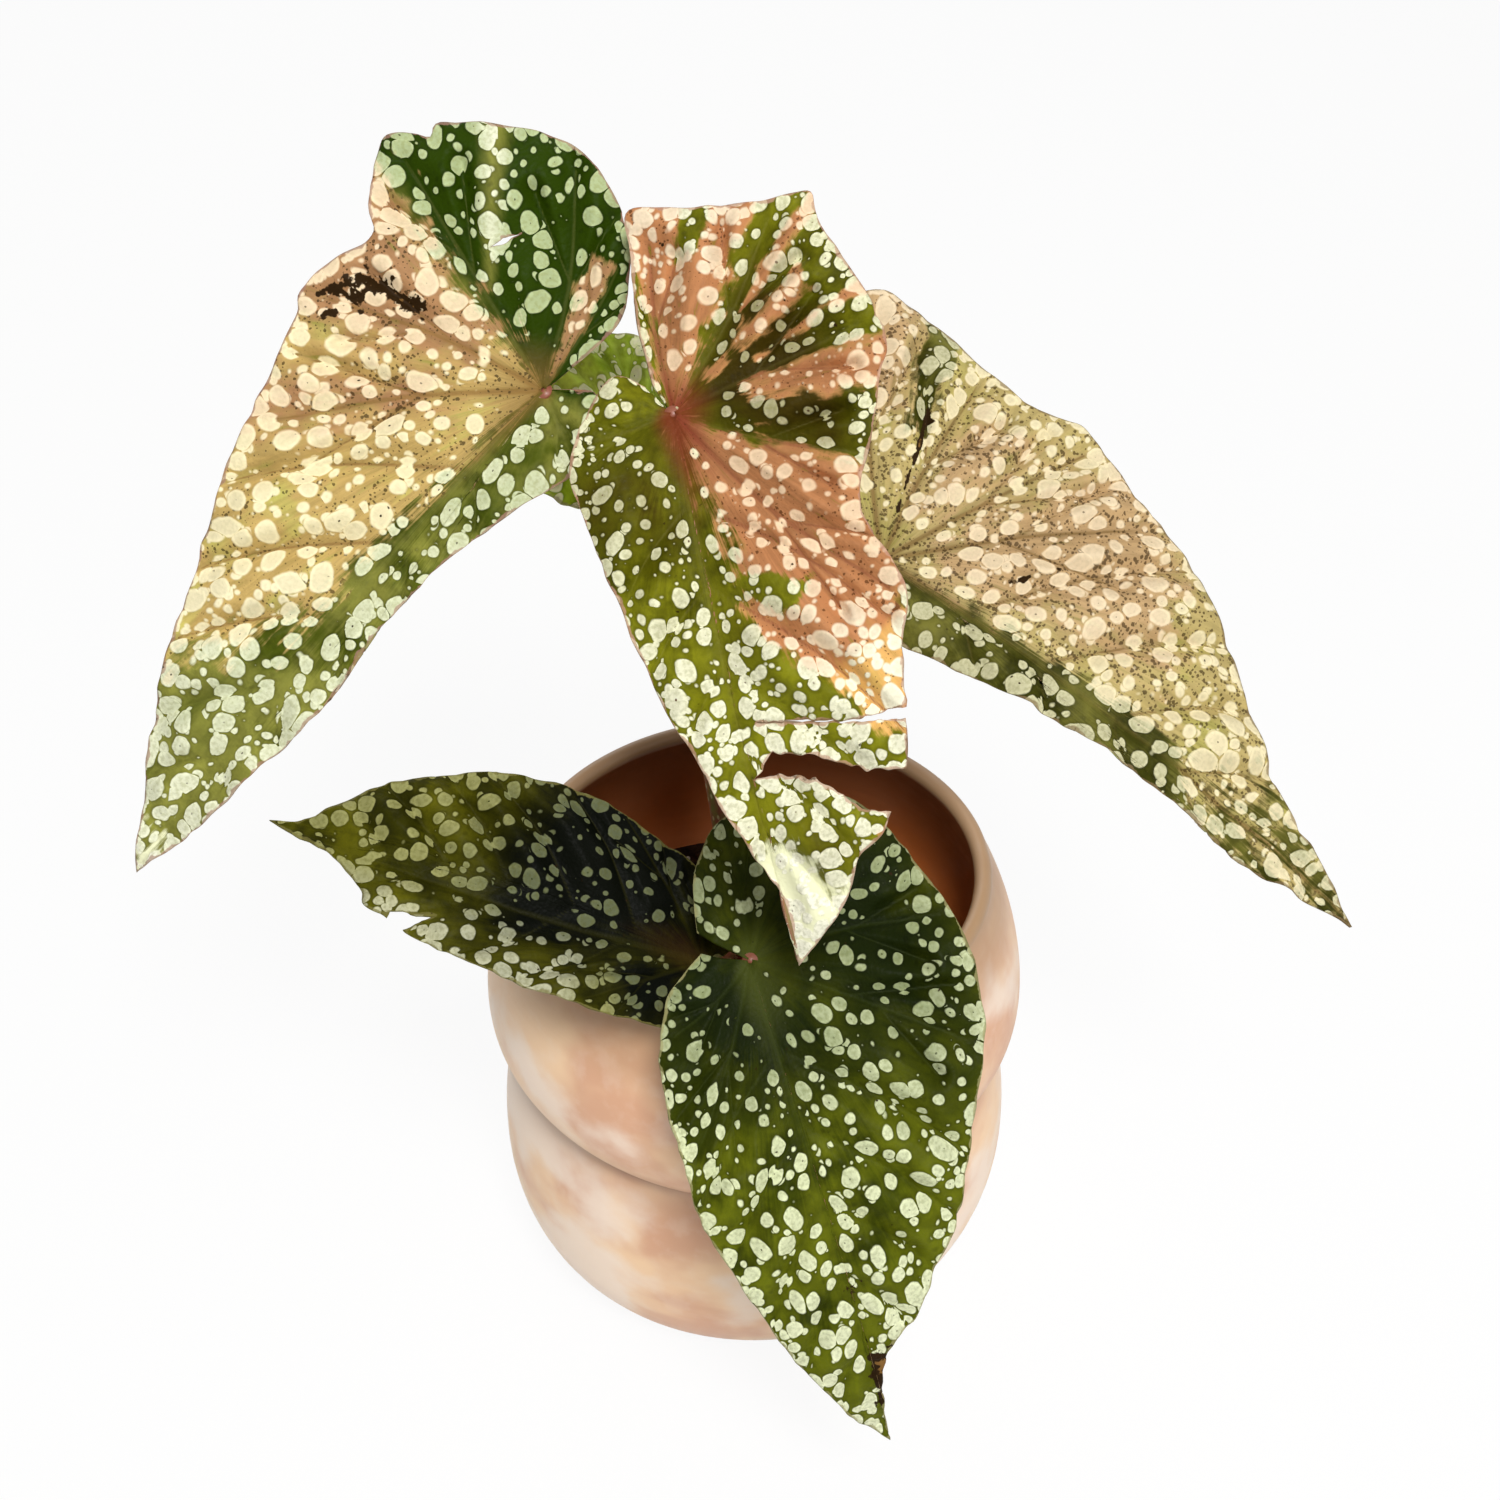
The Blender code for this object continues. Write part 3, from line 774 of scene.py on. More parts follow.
@dataclass(frozen=True)
class StudioFinish:
    """Seamless white paper: matt, and white to the camera where no shadow falls."""

    name: str = "white_paper_sweep"
    paper: str = "f4f4f2"
    fibre: str = "e4e4e2"
    glow: float = 0.92  # share of the paper that the camera and reflections see as pure white

    def build(self) -> bpy.types.Material:
        """Builds the material, with a white glow for camera, glossy and transmission rays only.

        Returns:
            The material.
        """
        f = Finish(self.name)
        grain = f.add("TexNoise", f.add("TexCoord").outputs["Object"], 300.0, 2.0)
        tone = f.add("MapRange", grain, 0.3, 0.7, 0.0, 0.03)
        paper = f.add("Mix RGBA", tone, self.paper, self.fibre)
        f.dress(Base_Color=paper, Roughness=0.9, Specular_IOR_Level=0.1)
        seen = f.add("Math MULTIPLY", f.white_room(), self.glow)
        white = f.add("Emission", WHITE, 1.0)
        mixed = f.add("MixShader", seen, f.shader.outputs[0], white)
        f.join(f.tree.nodes["Material Output"].inputs["Surface"], mixed)
        return f.material


# ---- leaves ----

FAN_LENGTH = 18.0  # units of the fan attribute from petiole to margin
FAR_AWAY = 60.0  # stands for a distance where nothing is near
MIDRIB, PALM_VEIN, FORK, SIDE_VEIN = 1.5, 1.05, 0.6, 0.75  # how wide the veins are, in mm
VEIN_REACH = 0.94  # how far towards the margin the palmate veins run


class Tone(Enum):
    """What a sector of a blade is made of, and the painted shade and painted light that lie on some sectors."""

    CREAM = "cream"
    BLUSH = "blush"  # cream with a pink flush
    DARK = "dark"  # painted shade: green where a shadow falls
    GREEN = "green"  # green again, over cream
    STREAK = "streak"  # a dead, nearly black stroke
    LIT = "lit"  # painted light: paler green with larger, brighter spots, over dark
    SCORCH = "scorch"  # dead brown tissue in a dark ring
    BLEACHED = "bleached"  # without green or red


@dataclass(frozen=True)
class Sector:
    """A wedge of a blade between two angles from the midrib and two distances from its apex."""

    tone: Tone
    first: float  # degrees, + to the left of the midrib
    last: float
    near: float = 0.0  # mm
    far: float = 200.0
    softness: float = 9.0  # mm over which it fades
    apex: Point2 = (0.0, 0.0)
    strength: float = 1.0

    def weigh(self, places: np.ndarray) -> np.ndarray:
        """Weighs how far inside the wedge each flat place is.

        Args:
            places: the flat places, one row each.

        Returns:
            For each place 0 outside, 0.5 on the border and 1 well inside, times the sector's strength.
        """
        places = places - np.array(self.apex)
        reach = np.hypot(places[:, 0], places[:, 1])
        middle, half = (self.first + self.last) / 2, abs(self.last - self.first) / 2
        angle = np.degrees(np.arctan2(places[:, 1], places[:, 0]))
        away = np.abs((angle - middle + 180) % 360 - 180)
        inside = np.radians(half - away) * np.maximum(reach, 3.0)
        inside = np.minimum(inside, np.minimum(reach - self.near, self.far - reach))
        return np.clip(0.5 + inside / self.softness, 0, 1) * self.strength


@dataclass
class Leaf:
    """One blade: its place in the world, its outline and its veins in its own flat frame.

    The flat frame has its origin at the petiole, x towards the tip and y to the left of the midrib,
    seen from above. Each margin runs from the notch behind the petiole to the tip.
    """

    name: str
    base: Point3
    tip: Point3
    facing: Point3
    arch: float
    left_fold: float
    right_fold: float
    cup: float
    back_rise: float
    left_margin: tuple[Point2, ...]
    right_margin: tuple[Point2, ...]
    finish: BladeFinish
    slot: str
    seed: int
    sectors: tuple[Sector, ...] = ()
    cuts: tuple[tuple[Point2, ...], ...] = ()
    palm: tuple[Point2, ...] = ()  # ends of the main veins that start at the petiole
    side_veins: int = 5
    columns: int = 450
    rings: int = 80
    thickness: float = 0.5
    fold_width: float = 3.0
    eye: float = 0.5  # radius of the bare place where the petiole joins
    tooth: float = 0.28
    quilting: float = 3.0  # mm that the skin bulges between veins
    bow: float = 0.0  # mm that the midrib bends to the left
    frill: float = 1.0
    length: float = field(init=False)

    def __post_init__(self) -> None:
        """Works out the axes of the flat frame."""
        along = Vector(self.tip) - Vector(self.base)
        self.length = along.length
        self.forward = along.normalized()
        facing = Vector(self.facing)
        self.up = (facing - self.forward * facing.dot(self.forward)).normalized()
        self.left = self.up.cross(self.forward)

    def margin(self) -> np.ndarray:
        """Draws the finely toothed outline.

        Returns:
            Its points, from the notch by the left side to the tip and back by the right.
        """
        left = smooth_line(self.left_margin, 8)
        right = smooth_line(self.right_margin, 8)
        line = even_line(np.concatenate([left, right[-2::-1]]), self.columns)
        chance = np.random.default_rng(self.seed)
        across = np.gradient(line, axis=0)
        across = np.stack([-across[:, 1], across[:, 0]], axis=1)
        across /= np.linalg.norm(across, axis=1)[:, None]
        share = np.linspace(0, 1, self.columns)
        calm = np.minimum(np.minimum(share, 1 - share) * 12, 1)
        tip = np.exp(-(((line[:, 0] - self.length) / 6) ** 2))
        number = np.arange(self.columns)
        teeth, swell = (
            np.interp(share * self.columns / apart, number, chance.uniform(-1, 1, self.columns))
            for apart in (3.1, 14)
        )
        return line + across * ((teeth * self.tooth + swell * 0.4) * calm * (1 - tip))[:, None]

    def veins(self) -> list[tuple[np.ndarray, float]]:
        """Draws the veins on the flat blade.

        Returns:
            A line and a width in mm for the midrib, each palmate vein and its forks, and each side vein.
        """
        chance = np.random.default_rng(self.seed + 100)
        bends = ((0, 0), (0.2, 0.64), (0.4, 0.96), (0.6, 0.96), (0.8, 0.64), (1, 0))
        midrib = smooth_line([(self.length * share, self.bow * bend) for share, bend in bends], 6)
        found = [(midrib, MIDRIB)]
        for end in self.palm:
            found += self.palm_vein(np.array(end, float) * VEIN_REACH, chance)
        for side in (1, -1):
            found += [(self.side_vein(side, number, chance), SIDE_VEIN) for number in range(self.side_veins)]
        return found

    def palm_vein(self, goal: np.ndarray, chance: np.random.Generator) -> list[tuple[np.ndarray, float]]:
        """Draws one main vein from the petiole, with a fork to each side of it.

        Args:
            goal: where it ends.
            chance: the leaf's random draws.

        Returns:
            The vein and its two forks, each a line and a width.
        """
        side = np.array([-goal[1], goal[0]]) * chance.uniform(-0.05, 0.05)
        stem = smooth_line(((0, 0), goal * 0.5 + side, goal), 8)
        found = [(stem, PALM_VEIN)]
        for turn in (-1, 1):
            start = stem[int(len(stem) * chance.uniform(0.42, 0.55))]
            angle = radians(chance.uniform(20, 30)) * turn
            x, y = goal - start
            heading = np.array([x * cos(angle) - y * sin(angle), x * sin(angle) + y * cos(angle)])
            fork = smooth_line((start, start + heading * 0.5, start + heading * 0.85), 4)
            found.append((fork, FORK))
        return found

    def side_vein(self, side: int, number: int, chance: np.random.Generator) -> np.ndarray:
        """Draws one vein that leaves the midrib.

        Args:
            side: 1 to the left of the midrib, -1 to the right.
            number: which one, from the petiole outwards.
            chance: the leaf's random draws.

        Returns:
            The vein's line.
        """
        edge = np.array(self.left_margin + self.right_margin, float)
        half = edge[edge[:, 1] * side > 1]
        half = half[np.argsort(half[:, 0])]
        start = self.length * (0.16 + 0.145 * number)
        slant = radians(46 - 4 * number + chance.uniform(-3, 3))
        reach = np.interp(start + 14, half[:, 0], np.abs(half[:, 1])) / sin(slant) * 0.95
        middle = (start + cos(slant) * reach * 0.45, side * sin(slant) * reach * 0.55)
        goal = (start + cos(slant) * reach, side * sin(slant) * reach)
        return smooth_line(((start, 0), middle, goal), 5)

    def heights(self, flat: np.ndarray, vein: np.ndarray, edge: np.ndarray, share: np.ndarray) -> np.ndarray:
        """How far each place stands off the flat frame.

        Args:
            flat: the flat places.
            vein: the distance to a vein, in widths of it.
            edge: the distance to the margin, in mm.
            share: how far out from the petiole, from 0 to 1.

        Returns:
            The height of each place, in mm.
        """
        x = flat[:, 0]
        part = x / self.length
        y = flat[:, 1] - self.bow * np.clip(4 * part * (1 - part), 0, 1)
        fold = np.where(y > 0, self.left_fold, self.right_fold)
        rise = self.arch * 4 * part * (1 - part) + self.cup * y * y
        rise += fold * (np.hypot(y, self.fold_width) - self.fold_width)
        # The lobe behind the petiole bends on its own.
        behind = x < 0
        rise += behind * (self.back_rise * x * x + self.arch * 3.2 * part * part)
        # The skin bulges between the veins, which lie in narrow furrows.
        quilt = smoothstep(0, 11, vein) * smoothstep(0, 0.35, share) * smoothstep(-4, 8, edge)
        rise += self.quilting * quilt - 0.25 * np.exp(-((vein / 0.8) ** 2))
        # Growth leaves broad and fine waves, and a frill at the margin.
        rise += ripple(flat, 34, self.seed) * 0.65 * smoothstep(0.1, 0.6, share)
        rise += ripple(flat, 9, self.seed + 2) * 0.14 * smoothstep(0.05, 0.2, share)
        rise += ripple(flat, 15, self.seed + 1) * self.frill * np.exp(-edge / 6) * smoothstep(0.2, 0.9, share)
        return rise

    def flat_sheet(self) -> bpy.types.Object:
        """Winds a grid round the petiole, draws it out to the margin and cuts the tears out of it.

        Returns:
            The sheet, still flat, with its fan attribute.
        """
        margin = self.margin()
        deselect_all()
        bpy.ops.mesh.primitive_grid_add(x_subdivisions=self.columns - 1, y_subdivisions=self.rings, size=2)
        sheet = active_primitive("blade_" + self.name)
        grid = vertices_of(sheet.data)
        column = np.rint((grid[:, 0] + 1) / 2 * (self.columns - 1)).astype(int)
        ring = (grid[:, 1] + 1) / 2
        share = ring**0.85
        eye = self.eye * margin / np.maximum(np.linalg.norm(margin, axis=1), 1e-6)[:, None]
        flat = eye[column] + (margin - eye)[column] * share[:, None]
        steps = np.linalg.norm(np.diff(margin, axis=0), axis=1)
        arc = np.concatenate([[0], np.cumsum(steps)])
        # Streaks run along the fan, so its across direction is squeezed less than its along direction.
        fan = np.stack([arc[column], share * FAN_LENGTH, np.full(len(flat), float(self.seed))], axis=1)
        store_attribute(sheet.data, "fan", fan)
        move_vertices(sheet.data, np.column_stack([flat, np.zeros(len(flat))]))
        for corners in self.cuts:
            self.snip(sheet.data, corners)
        return sheet

    def snip(self, mesh: bpy.types.Mesh, corners: tuple[Point2, ...]) -> None:
        """Cuts a convex patch out of the flat sheet.

        Args:
            mesh: the sheet.
            corners: the patch's corners, in order.
        """
        middle = np.mean(corners, axis=0)
        reach = max(hypot(*(np.array(c) - middle)) for c in corners) + 4
        sides = []
        for (x0, y0), (x1, y1) in zip(corners, corners[1:] + corners[:1]):
            normal = Vector((y1 - y0, x0 - x1, 0)).normalized()
            start = Vector((x0, y0, 0))
            sides.append((start, -normal if normal.dot(Vector((*middle, 0)) - start) > 0 else normal))
        work = bmesh.new()
        work.from_mesh(mesh)
        for start, normal in sides:
            near = [f for f in work.faces if (f.calc_center_median().xy - Vector(middle)).length < reach]
            around = list({v for f in near for v in f.verts}) + list({e for f in near for e in f.edges}) + near
            bmesh.ops.bisect_plane(work, geom=around, dist=0.01, plane_co=start, plane_no=normal)
        gone = [
            face
            for face in work.faces
            if all((face.calc_center_median() - start).dot(normal) < 0 for start, normal in sides)
        ]
        bmesh.ops.delete(work, geom=gone, context="FACES")
        work.to_mesh(mesh)
        work.free()

    def distances(self, flat: np.ndarray, share: np.ndarray) -> tuple[np.ndarray, np.ndarray, np.ndarray]:
        """Measures how far each flat place is from veins, margin and tears.

        Args:
            flat: the flat places.
            share: how far out from the petiole, from 0 to 1.

        Returns:
            The distance to a vein in widths of it, to the margin or a tear in mm, and to a tear in mm.
        """
        vein = np.full(len(flat), FAR_AWAY)
        for line, width in self.veins():
            taper = width * (1 - 0.6 * share)
            vein = np.minimum(vein, distance_to_line(flat, line) / taper)
        torn = np.full(len(flat), FAR_AWAY)
        for corners in self.cuts:
            torn = np.minimum(torn, distance_to_line(flat, np.array(corners + corners[:1], float)))
        return vein, np.minimum(distance_to_line(flat, self.margin()), torn), torn

    def tones(self, flat: np.ndarray) -> dict[Tone, np.ndarray]:
        """Weighs every tone at each flat place. A later sector lies over an earlier one.

        Args:
            flat: the flat places.

        Returns:
            For each tone, one weight from 0 to 1 for each place.
        """
        weights = {tone: np.zeros(len(flat)) for tone in Tone}
        for sector in self.sectors:
            weight = sector.weigh(flat)
            weights[sector.tone] = np.maximum(weights[sector.tone], weight)
            if sector.tone is Tone.GREEN:
                weights[Tone.CREAM] = np.minimum(weights[Tone.CREAM], 1 - weight)
            elif sector.tone is Tone.BLUSH:
                weights[Tone.CREAM] = np.maximum(weights[Tone.CREAM], weight)
            elif sector.tone is Tone.STREAK:
                weights[Tone.SCORCH] = np.maximum(weights[Tone.SCORCH], 0.7 * weight)
            elif sector.tone is Tone.LIT:
                weights[Tone.DARK] = np.minimum(weights[Tone.DARK], 1 - 0.8 * weight)
        return weights

    def build(self, underside: bpy.types.Material) -> bpy.types.Object:
        """Builds the blade, dresses it, hides its CAD node and attaches it to the root body.

        Args:
            underside: the material of the lower skin.

        Returns:
            The finished blade.
        """
        sheet = self.flat_sheet()
        mesh = sheet.data
        flat = vertices_of(mesh)[:, :2]
        fan = np.empty(len(flat) * 3, np.float32)
        mesh.attributes["fan"].data.foreach_get("vector", fan)
        share = fan.reshape(-1, 3)[:, 1] / FAN_LENGTH
        vein, edge, torn = self.distances(flat, share)
        tones = self.tones(flat)
        # The third sector weight is painted shade, and the third mark is painted light.
        kept = {
            "flat": (flat[:, 0], flat[:, 1], np.zeros(len(flat))),
            "sectors": (tones[Tone.CREAM], tones[Tone.BLUSH], tones[Tone.DARK]),
            "lines": (vein, edge, share),
            "marks": (tones[Tone.SCORCH], tones[Tone.BLEACHED], tones[Tone.LIT]),
        }
        for name, values in kept.items():
            store_attribute(mesh, name, np.stack(values, axis=1))
        height = self.heights(flat, vein, edge, share)
        # The lips of a tear are uneven.
        worn = 0.3 * np.exp(-torn / 1.5)[:, None]
        flat = flat + worn * np.stack([ripple(flat, 4.5, self.seed + number) for number in (7, 8)], axis=1)
        world = np.array(self.base) + flat[:, :1] * np.array(self.forward) + flat[:, 1:] * np.array(self.left)
        move_vertices(mesh, (world + height[:, None] * np.array(self.up)) * MM)
        for skin in (self.finish.build(), underside):
            mesh.materials.append(skin)
        normals = np.array([face.normal for face in mesh.polygons])
        if (normals @ np.array(self.up)).mean() < 0:
            mesh.flip_normals()
        thicken = sheet.modifiers.new("thickness", "SOLIDIFY")
        thicken.thickness = self.thickness * MM
        thicken.offset = 0.0
        thicken.material_offset = 1
        apply_modifiers(sheet)
        mesh.shade_smooth()
        finish_piece(sheet, self.slot, "leaf_" + self.name)
        return sheet


# Spots of three sizes: large ones 4 to 5 mm apart, middling ones between them, and pin dots.
CREAM_SPOTS = (
    SpotLayer(4.3, 0.7, 1.65, 0.9, 1.5),
    SpotLayer(2.7, 0.3, 0.85, 0.6, 1.3),
    SpotLayer(1.6, 0.1, 0.27, 0.3, 1.0),
)
WIDE_SPOTS = (
    SpotLayer(4.9, 0.8, 2.1, 0.92, 1.7),
    SpotLayer(2.9, 0.3, 1.0, 0.6, 1.5),
    SpotLayer(1.7, 0.1, 0.3, 0.25, 1.0),
)
GREEN_SPOTS = (
    SpotLayer(4.5, 0.75, 1.8, 0.88, 1.7),
    SpotLayer(2.8, 0.35, 0.95, 0.5, 1.4),
    SpotLayer(1.6, 0.1, 0.27, 0.14, 1.0),
)

LEFT_FINISH = BladeFinish(
    name="begonia_leaf_cream_and_green",
    green_deep="4c5410", green_light="8a8a3c", green_spot="dee2bc",
    cream="bea060", yellow="bdb560", blush="a87e56", cream_spot="f5e8bc", blush_spot="efd7b2",
    speck="2f230c", margin="a07a6a", vein="8f8f45", rib="94703c", flush="7c5c2c", flush_share=0.45,
    spots=WIDE_SPOTS, yellowness=0.35, specks=1.7, painted_shade_green="273a00", painted_shade_spot="b7c492", vein_share=0.12,
)
CENTRE_FINISH = BladeFinish(
    name="begonia_leaf_pink_and_green",
    green_deep="504f06", green_light="787814", green_spot="e4e2bc",
    cream="cf9f5c", yellow="c4a656", blush="b0784e", cream_spot="f3eaca", blush_spot="edceaa",
    speck="4f2c12", margin="b48a74", vein="85793a", rib="92583a", flush="7a2c20", flush_share=0.75,
    spots=CREAM_SPOTS, yellowness=0.3, specks=0.9, painted_shade_green="392e06", painted_shade_spot="aca67e", vein_share=0.12,
)
RIGHT_FINISH = BladeFinish(
    name="begonia_leaf_cream",
    green_deep="3a3a0a", green_light="6d6a2c", green_spot="ccc8a0",
    cream="b9a56a", yellow="aea45a", blush="ba9a6e", cream_spot="eee0b6", blush_spot="ecd6b2",
    speck="36240e", margin="836d4c", vein="8f7a40", rib="85683a", flush="7a6238",
    spots=WIDE_SPOTS, specks=3.6, painted_shade_green="26260a", vein_share=0.12,
)
# Painted light: the greens of this finish are painted lighter than the leaf's own, to make up for the shadow
# that the left and centre leaves cast on it.
SMALL_FINISH = BladeFinish(
    name="begonia_leaf_green_painted_lighter",
    green_deep="9cba26", green_light="d2e860", green_spot="fafccf",
    cream="a8a060", yellow="9b9a48", blush="a08a50", cream_spot="e4e2b4", blush_spot="e4d8b0",
    speck="2c3208", margin="9a9463", vein="8f9f38", vein_share=0.15, spots=GREEN_SPOTS,
)
LOWER_FINISH = replace(
    SMALL_FINISH, name="begonia_leaf_olive", green_deep="2e2e02", green_light="58560c", green_spot="9c9b62",
    vein="4d4b14", painted_shade_green="050702", painted_shade_spot="666c4e", margin="76703c", flush_share=0.1, shrink=0.15,
)
FRONT_FINISH = replace(
    SMALL_FINISH, name="begonia_leaf_green", green_deep="363d04", green_light="5e640e", green_spot="dfe5b8",
    vein="424e12", painted_shade_green="161e04", painted_shade_spot="9aa478", flush="5c6428", flush_share=0.4, shrink=0.15,
)

